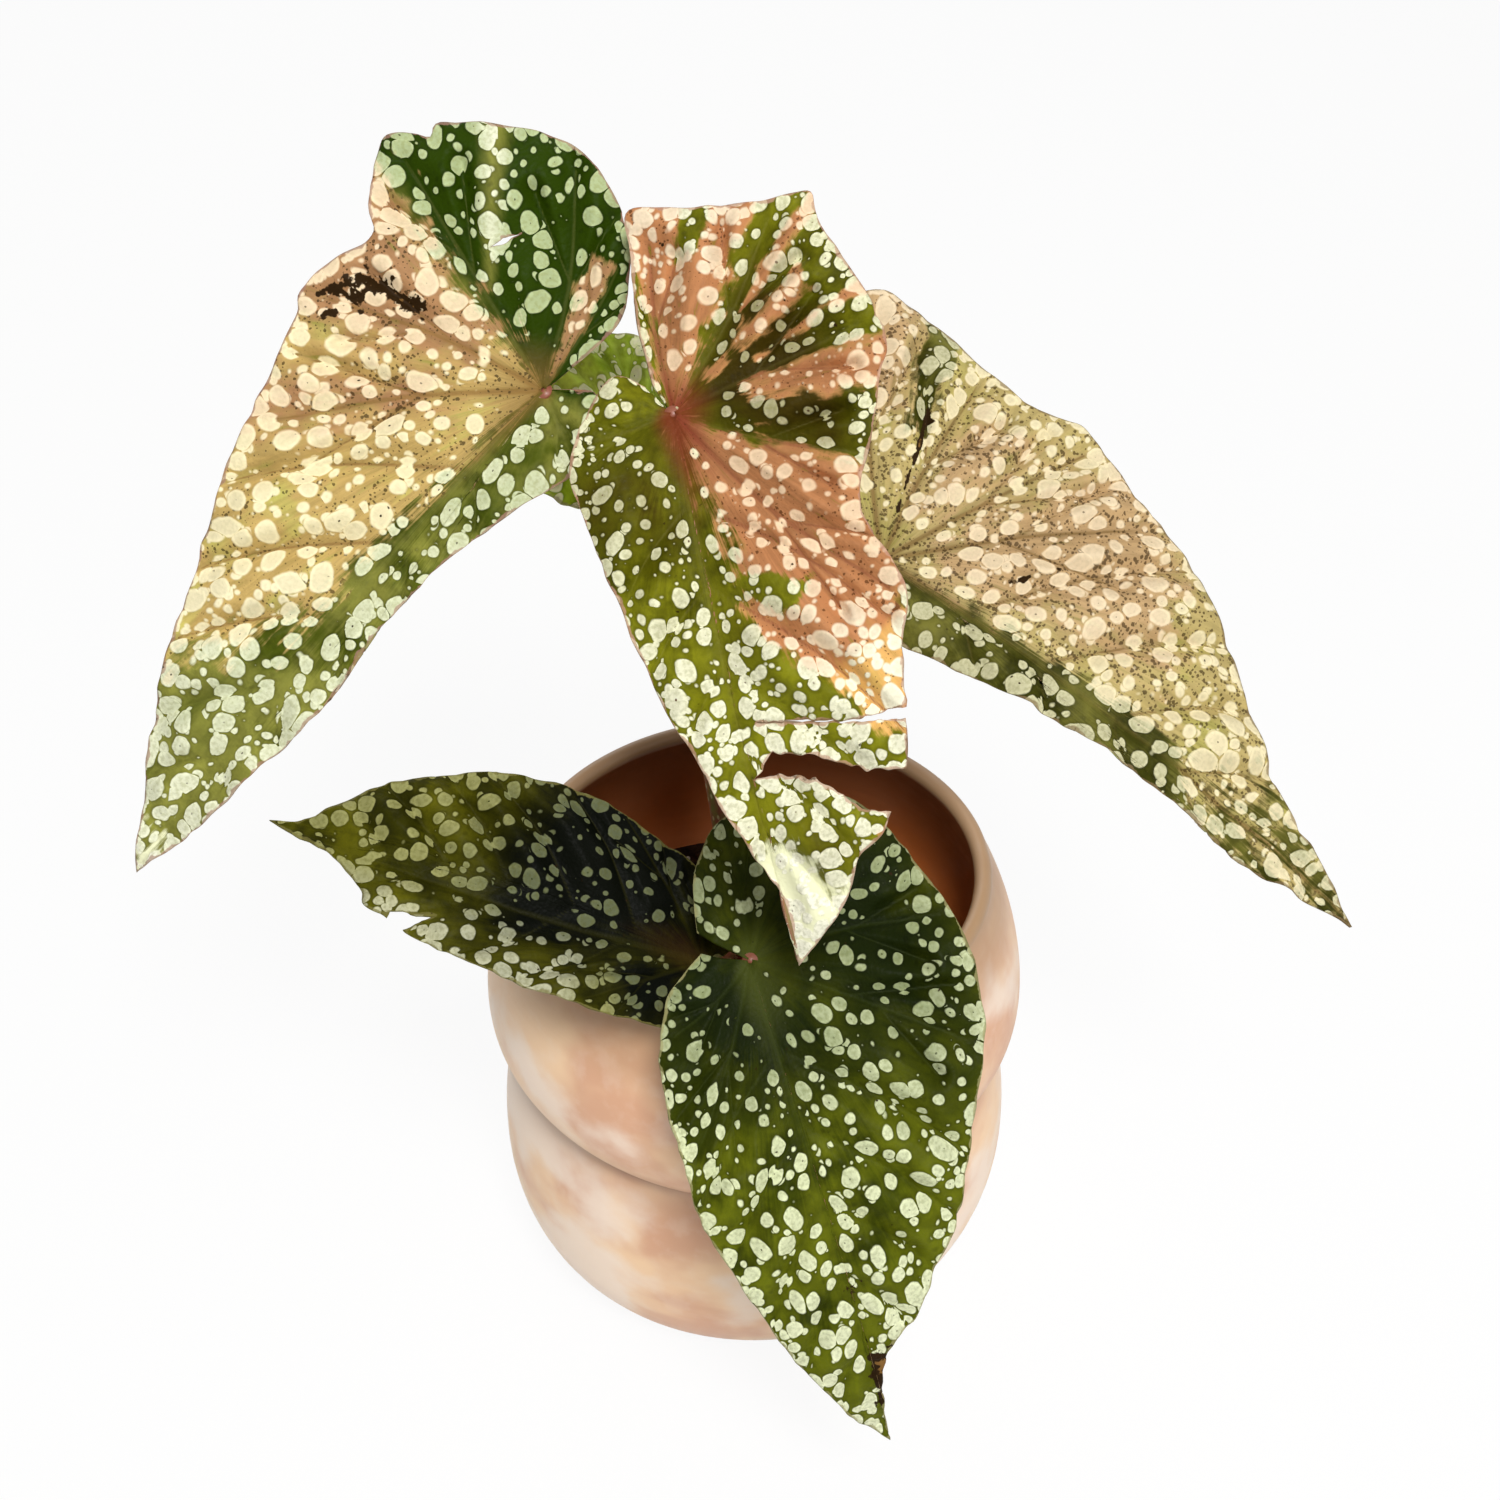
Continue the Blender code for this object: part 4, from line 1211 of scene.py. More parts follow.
LEAVES = (
    Leaf(
        name="left", base=(-40, 0, 230), tip=(-122, -45, 148), facing=(0.1, -0.72, 0.70),
        arch=9, left_fold=0.10, right_fold=0.16, cup=-0.0010, back_rise=0.004,
        left_margin=(
            (-4, 5), (-6, 8), (-1, 12), (8, 15), (18, 12), (33, 9), (55, 7), (68, 9), (87, 7), (105, 5),
            (124, 0),
        ),
        right_margin=(
            (-7, 1), (-19, 2), (-29, -4), (-36, -14), (-38, -24), (-34.5, -33), (-25, -46), (-21.5, -46.2),
            (-20, -49), (-15, -53), (-4.2, -45.3), (-1, -41.8), (6, -43.5), (15.5, -44.6), (22, -41), (42, -35),
            (62, -28), (85, -19), (103, -11), (124, 0),
        ),
        finish=LEFT_FINISH, slot="leaf_variegated", seed=3,
        sectors=(
            Sector(Tone.CREAM, -101, -4, near=-5),
            Sector(Tone.GREEN, -34, 60, apex=(64, -5), softness=22),
            Sector(Tone.BLUSH, -101, -66, near=14, softness=20),
            Sector(Tone.BLUSH, -50, -40, near=20, softness=24),
            Sector(Tone.BLUSH, -169, -158, near=3, far=27, softness=5),
            Sector(Tone.STREAK, -85, -78, near=25, far=40, softness=2.6),
            Sector(Tone.STREAK, -77, -71.5, near=36, far=43.5, softness=3),
            Sector(Tone.STREAK, -70, -66, near=38, far=42, softness=2.6),
            Sector(Tone.DARK, -255, -102, near=-5, softness=8),
            Sector(Tone.DARK, -6, 70, near=-5, far=34, softness=18, strength=0.45),
            Sector(Tone.LIT, -144.5, -138, near=12, far=50, softness=5, apex=(2, -12)),
            Sector(Tone.LIT, -24, 30, near=26, softness=60, apex=(60, 0)),
            Sector(Tone.DARK, -9, 0, near=44, far=96, softness=8, strength=0.4),
            Sector(Tone.BLEACHED, -30, 30, near=114, softness=26, strength=0.8),
        ),
        cuts=(((-13.7, -24.4), (-16, -24.2), (-19.2, -22.5), (-16.5, -22.9)),),
        palm=((-28, -5), (-37, -24), (-16, -50), (14, -42), (40, -35), (6, 14)),
    ),
    Leaf(
        name="centre", base=(-15, -15, 233), tip=(8, -72, 149), facing=(-0.1, -0.80, 0.60),
        arch=9, left_fold=0.14, right_fold=0.14, cup=-0.0012, back_rise=0.004,
        left_margin=(
            (-6, -2.5), (-19, -3), (-32, -2), (-38.5, 0), (-36, 12), (-34.6, 24), (-34.2, 32.8), (-28.5, 33.4),
            (-19, 36.5), (-5, 40), (4, 37), (13, 34), (24, 30), (39, 35), (49, 32), (61, 29.7),
            (71, 27.7), (78, 23), (81.5, 20.6), (85.3, 15.8), (89.5, 13.2), (94, 10.6), (99, 5.4), (104, 0),
        ),
        right_margin=(
            (-6, -4), (-9, -9), (-4, -15), (6, -20), (21, -18), (38, -15), (54, -11), (62, -8), (70, -6.2),
            (80, -3.2), (90, 0.8), (97, 1.3), (104, 0),
        ),
        finish=CENTRE_FINISH, slot="leaf_variegated", seed=8, quilting=4.2,
        sectors=(
            Sector(Tone.BLUSH, 184, 146), Sector(Tone.GREEN, 166, 158, near=29, softness=5),
            Sector(Tone.BLUSH, 112, 109, near=18, softness=4),
            Sector(Tone.BLUSH, 136, 133, near=22, softness=4),
            Sector(Tone.BLUSH, 126, 119, near=8, far=34, softness=6),
            Sector(Tone.BLUSH, 98, 84, near=14, softness=7),
            Sector(Tone.BLUSH, 62, 12, far=54, softness=12),
            Sector(Tone.GREEN, 46, 4, far=60, apex=(29, 1), softness=14),
            Sector(Tone.GREEN, 72, 44, near=4, far=18, apex=(29, 1), softness=5),
            Sector(Tone.CREAM, 76, 38, far=44, apex=(36, 4), softness=7),
            Sector(Tone.BLUSH, 56, 44, near=3, far=22, apex=(36, 4), softness=6),
            Sector(Tone.DARK, 140, 66, near=2, far=31, softness=16),
            Sector(Tone.LIT, 80, -70, apex=(38, 0), softness=30),
            Sector(Tone.LIT, 200, 148, near=24, softness=8, strength=0.6),
            Sector(Tone.DARK, 30, -4, near=2, far=20, apex=(27, 2), softness=12, strength=0.6),
            Sector(Tone.DARK, -80, 8, near=1, far=25, apex=(2, -1), softness=16, strength=0.6),
            Sector(Tone.BLEACHED, 22, -60, near=3, apex=(77, 5), softness=9),
            Sector(Tone.BLEACHED, 90, -90, apex=(90, 5), softness=9),
            Sector(Tone.DARK, 40, 0, near=2, far=18, apex=(70, 6), softness=8, strength=0.6),
            Sector(Tone.BLUSH, 60, 20, near=3, apex=(78, 19), softness=4),
        ),
        cuts=(
            ((63.2, 4.8), (65.2, 12.6), (69.6, 12), (68.5, 8.6), (67.4, 5)),
            ((63.2, 4.8), (67.4, 5), (67.4, 0.8)),
            ((65.2, 12.6), (69.3, 20), (76.5, 18.6), (69.6, 12)),
            ((69.3, 20), (71.3, 30), (78.2, 24), (76.5, 18.6)),
            ((57.2, 3.3), (60.4, 21), (60.9, 21), (57.6, 3.3)),
            ((60.4, 21), (59.8, 31), (62.4, 31), (60.9, 21)),
        ),
        palm=((-34, 2), (-33, 26), (-8, 39), (16, 34), (42, 34), (2, -18)),
    ),
    Leaf(
        name="right", base=(26, 8, 187), tip=(125, -35, 124), facing=(0.15, -0.55, 0.80),
        arch=8, left_fold=0.10, right_fold=-0.45, cup=-0.0008, back_rise=0.003,
        left_margin=(
            (-5, 3), (-16, 6), (-30, 12), (-40, 26), (-41, 40), (-34, 51), (-13, 51), (4, 47), (18, 49),
            (40, 41), (60, 33), (77, 21), (99, 8), (125, 0),
        ),
        right_margin=(
            (-5, -2), (-10, -8), (-4, -13), (8, -13), (26, -10), (48, -7), (74, -6), (98, -6), (125, 0),
        ),
        finish=RIGHT_FINISH, slot="leaf_variegated", seed=21,
        sectors=(
            Sector(Tone.CREAM, 190, 3, near=-5), Sector(Tone.GREEN, 114, 105, near=29, far=56, softness=5),
            Sector(Tone.CREAM, 20, -40, apex=(72, 2)),
            Sector(Tone.GREEN, 50, -80, apex=(66, 0), softness=44, strength=0.52),
            Sector(Tone.BLUSH, 134, 116, near=34, softness=14),
            Sector(Tone.BLUSH, 60, 14, near=12, far=60, softness=26),
            Sector(Tone.BLUSH, 96, 70, near=12, far=40, softness=18),
            Sector(Tone.STREAK, 109, 106, near=5, far=37, softness=1.1),
            Sector(Tone.STREAK, 52.5, 50, near=12, far=26, softness=1, apex=(15.5, 0.5)),
        ),
        palm=((-36, 22), (-34, 48), (-6, 48), (22, 47), (42, 40), (4, -12)),
    ),
    Leaf(
        name="small_back", base=(-24, 30, 205), tip=(-65, 30, 212), facing=(-0.2, -0.5, 0.80),
        arch=5, left_fold=0.10, right_fold=0.10, cup=-0.001, back_rise=0.0,
        left_margin=((-4, 2), (-9, 8), (-7, 16), (3, 21), (15, 22), (26, 15), (41, 0)),
        right_margin=((-4, -2), (-9, -8), (-6, -16), (4, -19), (15, -16), (27, -10), (41, 0)),
        finish=SMALL_FINISH, slot="leaf_green", seed=30, columns=240, rings=40,
        palm=((-6, 14), (8, 21), (-6, -14), (8, -18)),
    ),
    Leaf(
        name="lower_left", base=(-11, -40, 119), tip=(-100, -25, 145), facing=(0.0, -0.45, 0.89),
        arch=10, left_fold=0.32, right_fold=0.10, cup=-0.001, back_rise=0.0,
        left_margin=(
            (-4, 3), (-6, 8), (-3, 14), (6, 18), (18, 19.5), (33, 20), (52, 18.3), (61, 16.3), (68, 14),
            (70.5, 10), (79, 4), (87, 2), (94, 0),
        ),
        right_margin=(
            (-4, -3), (-6, -9), (2, -16), (16, -20), (30, -23), (44, -22.5), (58, -19), (71, -13), (80, -6.5),
            (87, -1.5), (94, 0),
        ),
        finish=LOWER_FINISH, slot="leaf_green", seed=41, columns=320, rings=60, bow=5,
        sectors=(
            Sector(Tone.DARK, -90, 32, near=-5, far=50, softness=34),
            Sector(Tone.DARK, 20, 75, near=-5, far=22, softness=12),
            Sector(Tone.LIT, 0, 90, near=54, apex=(-30, 9), softness=8, strength=0.65),
        ),
        cuts=(((60.8, 19), (54.3, 12.3), (62.3, 13.5), (64, 19)),),
        palm=((2, 17), (22, 19), (6, -18), (26, -23)),
    ),
    Leaf(
        name="front", base=(-1, -49, 128), tip=(28, -101, 41), facing=(0.0, -0.62, 0.78),
        arch=14, left_fold=0.08, right_fold=0.08, cup=-0.0015, back_rise=0.003,
        left_margin=(
            (-8, -8.5), (-18, -6), (-26, 1), (-29.5, 11), (-27, 23), (-21.5, 32), (-9.5, 37.6), (5, 42.6),
            (20, 42), (29, 39), (38, 34.5), (49, 29), (61, 22.8), (70, 16), (76.5, 11.6), (79, 7.5), (84, 3.5),
            (94, 0.6), (106, 0),
        ),
        right_margin=(
            (-4, -9), (2, -18), (16, -24), (34, -24), (49, -23), (67, -17.6), (80, -13.2), (95, -6.8), (106, 0),
        ),
        finish=FRONT_FINISH, slot="leaf_green", seed=52,
        sectors=(
            Sector(Tone.DARK, 40, 180, near=-5, far=44, softness=50),
            Sector(Tone.DARK, -180, 50, near=-5, far=25, softness=34),
            Sector(Tone.LIT, -60, 60, apex=(56, 0), softness=60, strength=0.6),
            Sector(Tone.LIT, 10, 60, near=42, softness=16, strength=0.25),
            Sector(Tone.SCORCH, 0, 3.5, near=83, far=94, softness=5),
            Sector(Tone.SCORCH, 0, 2, near=66, far=69, softness=4),
        ),
        palm=((-28, 4), (-27, 26), (2, 42), (28, 40), (10, -20), (34, -23)),
    ),
)


# ---- pot and soil ----


@dataclass
class Pot:
    """The pot: two bellies with a sharp groove between them, a rounded lip and a hollow inside."""

    height: float = 112.0
    base_radius: float = 38.0
    lower_belly: Point2 = (61.5, 32.0)
    groove: Point2 = (56.4, 62.4)
    upper_belly: Point2 = (62.5, 78.0)
    mouth: Point2 = (53.7, 109.5)
    wall: float = 4.0
    floor: float = 6.0
    steps: int = 14
    segments: int = 192

    def eased(self, start: Point2, end: Point2, power: float) -> list[Point2]:
        """Draws a side whose radius leaves its first point gently and meets its second steeply.

        Args:
            start: the radius and height that it leaves.
            end: the radius and height that it meets.
            power: how steeply it meets the second.

        Returns:
            Its points, without the last.
        """
        (r0, z0), (r1, z1) = start, end
        shares = [i / self.steps for i in range(self.steps)]
        return [(r0 + (r1 - r0) * share**power, z0 + (z1 - z0) * share) for share in shares]

    def outside(self) -> list[Point2]:
        """Draws the outer side of the pot.

        Returns:
            Its points from the mouth to the base.
        """
        points = [self.mouth] + self.eased(self.upper_belly, self.mouth, 1.8)[:0:-1]
        points += self.eased(self.upper_belly, self.groove, 2.2)
        points += [self.groove] + self.eased(self.lower_belly, self.groove, 2.2)[:0:-1]
        reach = self.lower_belly[0] - self.base_radius
        for i in range(self.steps + 1):
            turn = pi / 2 * i / self.steps
            points.append((self.base_radius + reach * cos(turn) ** 0.8, self.lower_belly[1] * (1 - sin(turn))))
        return points

    def outer_radius(self, z: float) -> float:
        """The outer radius at a height."""
        line = sorted({height: radius for radius, height in self.outside()}.items())
        return float(np.interp(z, [height for height, _ in line], [radius for _, radius in line]))

    def inside(self) -> list[Point2]:
        """Draws the inner side of the pot.

        Returns:
            Its points from the floor up to the lip.
        """
        heights = np.concatenate([[9, 13, 20, 32, 44, 54], np.linspace(60, self.mouth[1], 30)])
        flat = [(0.0, self.floor), (self.base_radius - 10, self.floor), (self.base_radius - 4, self.floor + 1)]
        return flat + [(self.outer_radius(z) - self.wall, float(z)) for z in heights]

    def lip(self) -> list[Point2]:
        """Draws the rounded lip.

        Returns:
            Its points from the inner side over the top to the outer side.
        """
        middle, half = self.mouth[0] - self.wall / 2, self.wall / 2
        turns = [pi - pi * i / 12 for i in range(1, 12)]
        return [(middle + half * cos(a), self.mouth[1] + (self.height - self.mouth[1]) * sin(a)) for a in turns]

    def build(self) -> bpy.types.Object:
        """Turns the profile about the pot's axis, marks its surfaces and glazes it.

        Returns:
            The finished pot.
        """
        profile = self.inside() + self.lip() + self.outside() + [(0.0, 0.0)]
        pot = turned("pot_shell", profile, self.segments)
        places = vertices_of(pot.data) / MM
        height = places[:, 2]
        radius = np.hypot(places[:, 0], places[:, 1])
        outer = np.array([self.outer_radius(z) for z in height])
        inner = smoothstep(self.wall * 0.35, self.wall * 0.75, outer - radius) * (height > self.floor - 1)
        # The outer wall is painted brown over the last 18 mm, painted shade for the leaves' shadow on it, and
        # the lip itself is tan-brown all over.
        lip = 0.7 * smoothstep(self.mouth[1] - 18, self.mouth[1] - 2, height) * (1 - inner)
        lip = np.maximum(lip, smoothstep(self.mouth[1] - 1.5, self.mouth[1] + 0.5, height))
        # Painted shade darkens the groove, the slopes next to it and the foot.
        groove_shade = 0.3 * np.exp(-(((height - self.groove[1]) / 1.6) ** 2))
        groove_shade += 0.4 * np.exp(-(((height - self.groove[1]) / 7) ** 2)) + 0.35 * smoothstep(24, 2, height)
        groove_shade *= 1 - inner
        store_attribute(pot.data, "wall", np.stack([inner * (1 - lip), lip, groove_shade], axis=1))
        # A hand-thrown wall is never quite round.
        turn = np.arctan2(places[:, 1], places[:, 0])
        waver = 1 + (0.003 * np.sin(2 * turn + 0.6) + 0.0015 * np.sin(5 * turn + height / 18)) * (radius > 5)
        places[:, :2] *= waver[:, None]
        move_vertices(pot.data, places * MM)
        pot.data.materials.append(StonewareFinish().build())
        finish_piece(pot, "pot_stoneware", "pot")
        return pot


def turned(name: str, profile: list[Point2], segments: int) -> bpy.types.Object:
    """Turns a half profile of (radius, height) points about Z into a closed solid.

    Args:
        name: the piece's name.
        profile: the points in mm, from axis to axis.
        segments: steps round the axis.

    Returns:
        The solid, smooth, with its faces outwards.
    """
    deselect_all()
    bpy.ops.mesh.primitive_plane_add(size=1)
    item = active_primitive(name)
    item.data.clear_geometry()
    edges = [(i, i + 1) for i in range(len(profile) - 1)]
    item.data.from_pydata([(r * MM, 0, z * MM) for r, z in profile], edges, [])
    screw = item.modifiers.new("turned", "SCREW")
    screw.steps = screw.render_steps = segments
    screw.use_merge_vertices = True
    screw.merge_threshold = 0.00001
    apply_modifiers(item)
    bpy.ops.object.mode_set(mode="EDIT")
    bpy.ops.mesh.select_all(action="SELECT")
    bpy.ops.mesh.remove_doubles(threshold=0.000005)
    bpy.ops.mesh.normals_make_consistent(inside=False)
    bpy.ops.object.mode_set(mode="OBJECT")
    item.data.shade_smooth()
    return item


@dataclass
class Soil:
    """Damp potting mix: a crowned bed, loose crumbs and bark on it, and a few grains of perlite."""

    pot: Pot
    top: float = 71.0
    crown: float = 2.0
    gap: float = 0.3
    segments: int = 120
    rows: int = 46
    crumbs: int = 900
    bark: int = 160
    perlite: int = 110

    def build(self) -> None:
        """Builds the bed and scatters what lies on it."""
        edge = self.top - self.crown
        heights = [z for z in (12, 20, 32, 46, 56, 62.4) if z < edge]
        side = [(self.pot.outer_radius(z) - self.pot.wall - self.gap, z) for z in [edge] + heights[::-1]]
        rim = side[0][0]
        top = [(rim * i / self.rows, self.top - self.crown * (i / self.rows) ** 2) for i in range(self.rows)]
        base = self.pot.floor + self.gap
        bed = turned("soil_bed", top + side + [(self.pot.base_radius - 5, base), (0.0, base)], self.segments)
        places = vertices_of(bed.data) / MM
        radius = np.hypot(places[:, 0], places[:, 1])
        upper = (places[:, 2] > edge - 0.5) * smoothstep(rim, rim - 6, radius)
        lumps = ripple(places[:, :2], 14, 5) * 0.55 + ripple(places[:, :2], 5, 6) * 0.4
        places[:, 2] += upper * np.clip(lumps, -1.5, 1.5)
        move_vertices(bed.data, places * MM)
        bed.data.materials.append(CrumbFinish("damp_potting_mix", "120b07", "3a2617", 2.0).build())
        finish_piece(bed, "potting_soil", "soil")
        peat = CrumbFinish("peat_crumbs", "1a100a", "4b3220", 1.2)
        self.scatter("soil_crumbs", self.crumbs, (0.6, 1.9), peat, 11)
        bark = CrumbFinish("pine_bark", "3b2213", "7a5232", 2.0)
        self.scatter("bark_chips", self.bark, (1.4, 3.0), bark, 12)
        perlite = CrumbFinish("perlite", "cfc9bd", "efece4", 0.8)
        self.scatter("perlite_grains", self.perlite, (0.7, 1.6), perlite, 13)

    def scatter(self, name: str, count: int, sizes: Point2, finish: CrumbFinish, seed: int) -> None:
        """Scatters broken grains over the bed, joined as one piece.

        Args:
            name: the piece's name.
            count: how many grains.
            sizes: the least and the greatest radius, in mm.
            finish: their material.
            seed: which scatter it is.
        """
        chance = np.random.default_rng(seed)
        deselect_all()
        bpy.ops.mesh.primitive_ico_sphere_add(subdivisions=1, radius=1)
        piece = active_primitive(name)
        shape = vertices_of(piece.data)
        faces = np.array([tuple(p.vertices) for p in piece.data.polygons])
        reach = self.pot.outer_radius(self.top) - self.pot.wall - 3
        corners, sides = [], []
        for number in range(count):
            size = chance.uniform(*sizes)
            distance, turn = reach * chance.uniform(0, 1) ** 0.5, chance.uniform(0, tau)
            spread = chance.uniform(0.55, 1.25, 3)
            grain = shape * spread * chance.uniform(0.8, 1.2, (len(shape), 1)) * size
            spin, _ = np.linalg.qr(chance.normal(size=(3, 3)))
            if np.linalg.det(spin) < 0:
                spin[:, 0] *= -1
            level = self.top - self.crown * (distance / reach) ** 2
            middle = np.array([distance * cos(turn), distance * sin(turn), level + size * 0.25])
            corners.append(grain @ spin.T + middle)
            sides.append(faces + number * len(shape))
        piece.data.clear_geometry()
        piece.data.from_pydata((np.concatenate(corners) * MM).tolist(), [], np.concatenate(sides).tolist())
        piece.data.materials.append(finish.build())
        finish_piece(piece, "potting_soil")


# ---- stems ----


@dataclass
class Stem:
    """A round stem along a smooth route, thicker where its swells say, with closed round ends."""

    name: str
    route: tuple[Point3, ...]
    radius: float
    swells: tuple[float, ...]
    age: tuple[float, ...]  # 0 young and green, 1 old and red, at each point of the route
    sides: int = 20
    steps: int = 12

    def build(self, finish: bpy.types.Material) -> bpy.types.Object:
        """Draws a ring of points at each step of the route and joins the rings.

        Args:
            finish: the skin.

        Returns:
            The stem.
        """
        line = smooth_line(self.route, self.steps)
        radius = smooth_line([(s,) for s in self.swells], self.steps)[:, 0] * self.radius
        age = smooth_line([(a,) for a in self.age], self.steps)[:, 0]
        along = np.concatenate([[0], np.cumsum(np.linalg.norm(np.diff(line, axis=0), axis=1))])
        deselect_all()
        bpy.ops.mesh.primitive_cylinder_add(vertices=self.sides, radius=1, depth=1, end_fill_type="NOTHING")
        item = active_primitive(self.name)
        item.data.clear_geometry()
        heading = np.gradient(line, axis=0)
        heading /= np.linalg.norm(heading, axis=1)[:, None]
        side = np.cross(heading[0], (0.0, 1.0, 0.0))
        corners, course = [], []
        for place, ahead, thick, far, old in zip(line, heading, radius, along, age):
            side = side - ahead * (side @ ahead)
            side /= np.linalg.norm(side)
            other = np.cross(ahead, side)
            for number in range(self.sides):
                turn = tau * number / self.sides
                corners.append(place + (side * cos(turn) + other * sin(turn)) * thick)
                course.append((turn * self.radius, far, old))
        last = (len(line) - 1) * self.sides
        faces = [
            (row + n, row + (n + 1) % self.sides, row + self.sides + (n + 1) % self.sides, row + self.sides + n)
            for row in range(0, last, self.sides)
            for n in range(self.sides)
        ]
        faces += [tuple(range(self.sides))[::-1], tuple(range(last, last + self.sides))]
        item.data.from_pydata((np.array(corners) * MM).tolist(), [], faces)
        store_attribute(item.data, "course", np.array(course))
        item.data.materials.append(finish)
        item.data.shade_smooth()
        return item


# The height at which each petiole leaves the cane, and a point that it passes on the way to its blade.
PETIOLE_WAYS = {
    "left": (180, (-37, 4, 220)),
    "centre": (172, (-15, -3, 225)),
    "right": (162, (22, 17, 176)),
    "small_back": (183, (-23, 34, 196)),
    "lower_left": (86, (-11, -32, 108)),
    "front": (94, (1, -38, 120)),
}


@dataclass
class Plant:
    """The cane with its joints, the petioles, the bud and the leaves."""

    leaves: tuple[Leaf, ...] = LEAVES
    cane_radius: float = 3.0
    node_swell: float = 1.35
    petiole_radius: float = 1.6
    bud_length: float = 12.0
    bud_radius: float = 2.2
    cane_route: tuple[Point3, ...] = (
        (-4, 3, 68), (-4, 3, 72.4), (-5, 3, 90), (-6, 3, 112), (-7.5, 4, 136), (-11, 6, 160), (-13, 9, 177),
        (-14, 11, 190),
    )

    def cane_point(self, height: float) -> np.ndarray:
        """The middle of the cane at a height."""
        route = np.array(self.cane_route)
        return np.array([np.interp(height, route[:, 2], route[:, i]) for i in range(3)])

    def build(self) -> None:
        """Builds every piece of the plant."""
        skin = StemFinish().build()
        swells = (1.15, 1.1, self.node_swell, 1.0, self.node_swell, self.node_swell, 1.2, 0.8)
        age = (0.5, 0.5, 0.42, 0.35, 0.3, 0.22, 0.15, 0.1)
        cane = Stem("main_cane", self.cane_route, self.cane_radius, swells, age).build(skin)
        finish_piece(cane, "stem", "cane")
        top = np.array(self.cane_route[-1], float)
        upward = top - np.array(self.cane_route[-2])
        upward /= np.linalg.norm(upward)
        route = tuple(tuple(top + upward * self.bud_length * share) for share in (-0.05, 0.3, 0.6, 0.85, 1))
        swells, age = (0.9, 1.0, 0.8, 0.4, 0.08), (0.3, 0.3, 0.4, 0.5, 0.5)
        bud = Stem("rolled_bud", route, self.bud_radius, swells, age).build(skin)
        finish_piece(bud, "stem", "terminal_bud")
        underside = UndersideFinish().build()
        for leaf in self.leaves:
            leaf.build(underside)
            self.petiole(leaf, skin)

    def petiole(self, leaf: Leaf, skin: bpy.types.Material) -> None:
        """Builds the stalk of one leaf, from inside the cane to the underside of the blade.

        Args:
            leaf: the leaf that it carries.
            skin: its finish.
        """
        cane_height, approach = PETIOLE_WAYS[leaf.name]
        core = self.cane_point(cane_height)
        way = np.array(approach, float)
        outward = way - core
        outward[2] = 0
        outward /= np.linalg.norm(outward)
        start = core + outward * self.cane_radius * 0.6
        knee = core + outward * (self.cane_radius * self.node_swell + self.petiole_radius)
        under = np.array(leaf.base) - np.array(leaf.up) * 0.2
        middle = knee + (way - knee) * 0.5 + outward * 3
        route = tuple(tuple(p) for p in (start, knee, middle, way, under))
        swells, age = (1.35, 1.25, 1, 1, 1.05), (0.35, 0.4, 0.35, 0.45, 0.55)
        stalk = Stem("stalk_" + leaf.name, route, self.petiole_radius, swells, age)
        finish_piece(stalk.build(skin), "stem", "petiole_" + leaf.name)


# ---- studio ----


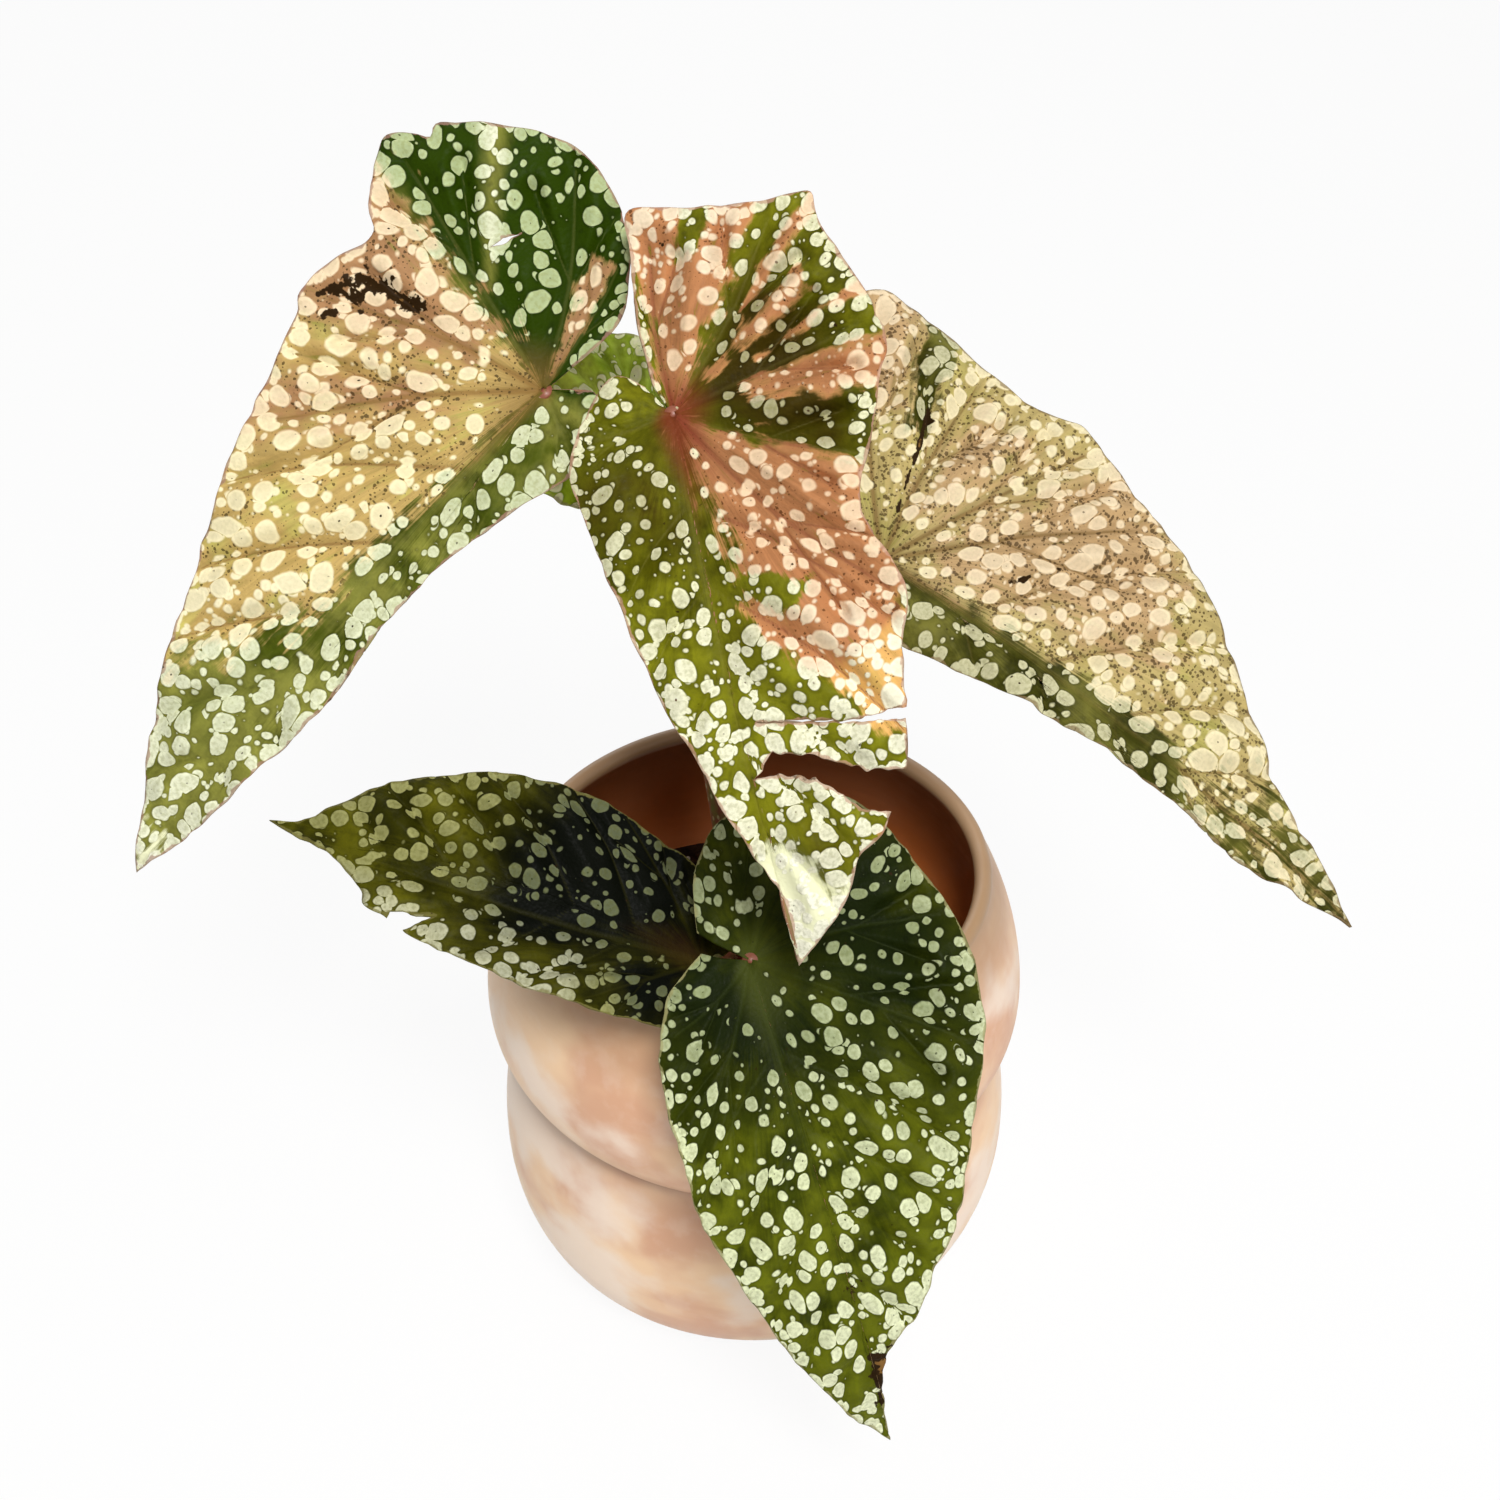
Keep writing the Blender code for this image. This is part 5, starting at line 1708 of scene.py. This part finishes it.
@dataclass
class Studio:
    """A white paper sweep, three soft lamps, a dim white room and the camera. Lengths are metres."""

    lens: float = 46.632
    sensor: float = 36.0
    camera_place: Point3 = (-0.0010, -0.3292, 0.4044)
    look_down: float = 38.4  # degrees
    nearest: float = 0.01
    floor_size: float = 6.0
    air: float = 0.24  # how strongly the room lights the plant
    aim: Point3 = (0.0, 0.0, 0.14)
    lamps: tuple[tuple[str, Point3, float, float], ...] = (  # name, place, side and watts
        ("key", (0.14, -0.7, 1.12), 0.32, 13.2),
        ("fill", (1.0, -0.3, 0.8), 0.9, 1.6),
        ("back", (-0.2, 1.1, 0.9), 0.8, 3.2),
    )

    def build(self) -> None:
        """Builds floor, lamps, room and camera."""
        deselect_all()
        bpy.ops.mesh.primitive_plane_add(size=self.floor_size, location=(0, 0, 0))
        floor = active_primitive("paper_floor")
        floor.data.materials.append(StudioFinish().build())
        for lamp in self.lamps:
            self.lamp(*lamp)
        self.room()
        self.camera()
        bpy.context.scene.view_settings.view_transform = "Standard"

    def room(self) -> None:
        """Builds a dim room to light the plant, which the camera and glossy or clear surfaces see as white."""
        world = bpy.data.worlds.new("studio_air")
        bpy.context.scene.world = world
        world.use_nodes = True
        nodes = Nodes(world.node_tree)
        dim = nodes.tree.nodes["Background"]
        nodes.join(dim.inputs["Color"], WHITE)
        nodes.join(dim.inputs["Strength"], self.air)
        seen = nodes.add("MixShader", nodes.white_room(), dim, nodes.add("Background", WHITE))
        nodes.join(nodes.tree.nodes["World Output"].inputs["Surface"], seen)

    def camera(self) -> None:
        """Places the camera."""
        camera = bpy.data.cameras.new("camera")
        camera.lens, camera.sensor_width = self.lens, self.sensor
        camera.clip_start = self.nearest
        seat = bpy.data.objects.new("camera", camera)
        seat.location = self.camera_place
        seat.rotation_euler = (radians(90 - self.look_down), 0, 0)
        bpy.context.scene.collection.objects.link(seat)
        bpy.context.scene.camera = seat

    def lamp(self, name: str, place: Point3, side: float, power: float) -> None:
        """Hangs one square soft lamp that looks at the middle of the plant.

        Args:
            name: the lamp's name.
            place: where it hangs.
            side: the length of its side.
            power: in watts.
        """
        data = bpy.data.lights.new(name, "AREA")
        data.size, data.energy = side, power
        item = bpy.data.objects.new(name, data)
        item.location = place
        item.rotation_euler = (Vector(self.aim) - Vector(place)).to_track_quat("-Z", "Y").to_euler()
        bpy.context.scene.collection.objects.link(item)


def main() -> None:
    """Builds the pot, the soil, the plant and the studio."""
    logging.basicConfig(level=logging.INFO, format="%(name)s: %(message)s")
    pot = Pot()
    pot.build()
    Soil(pot).build()
    Plant().build()
    Studio().build()


if __name__ == "__main__":
    main()
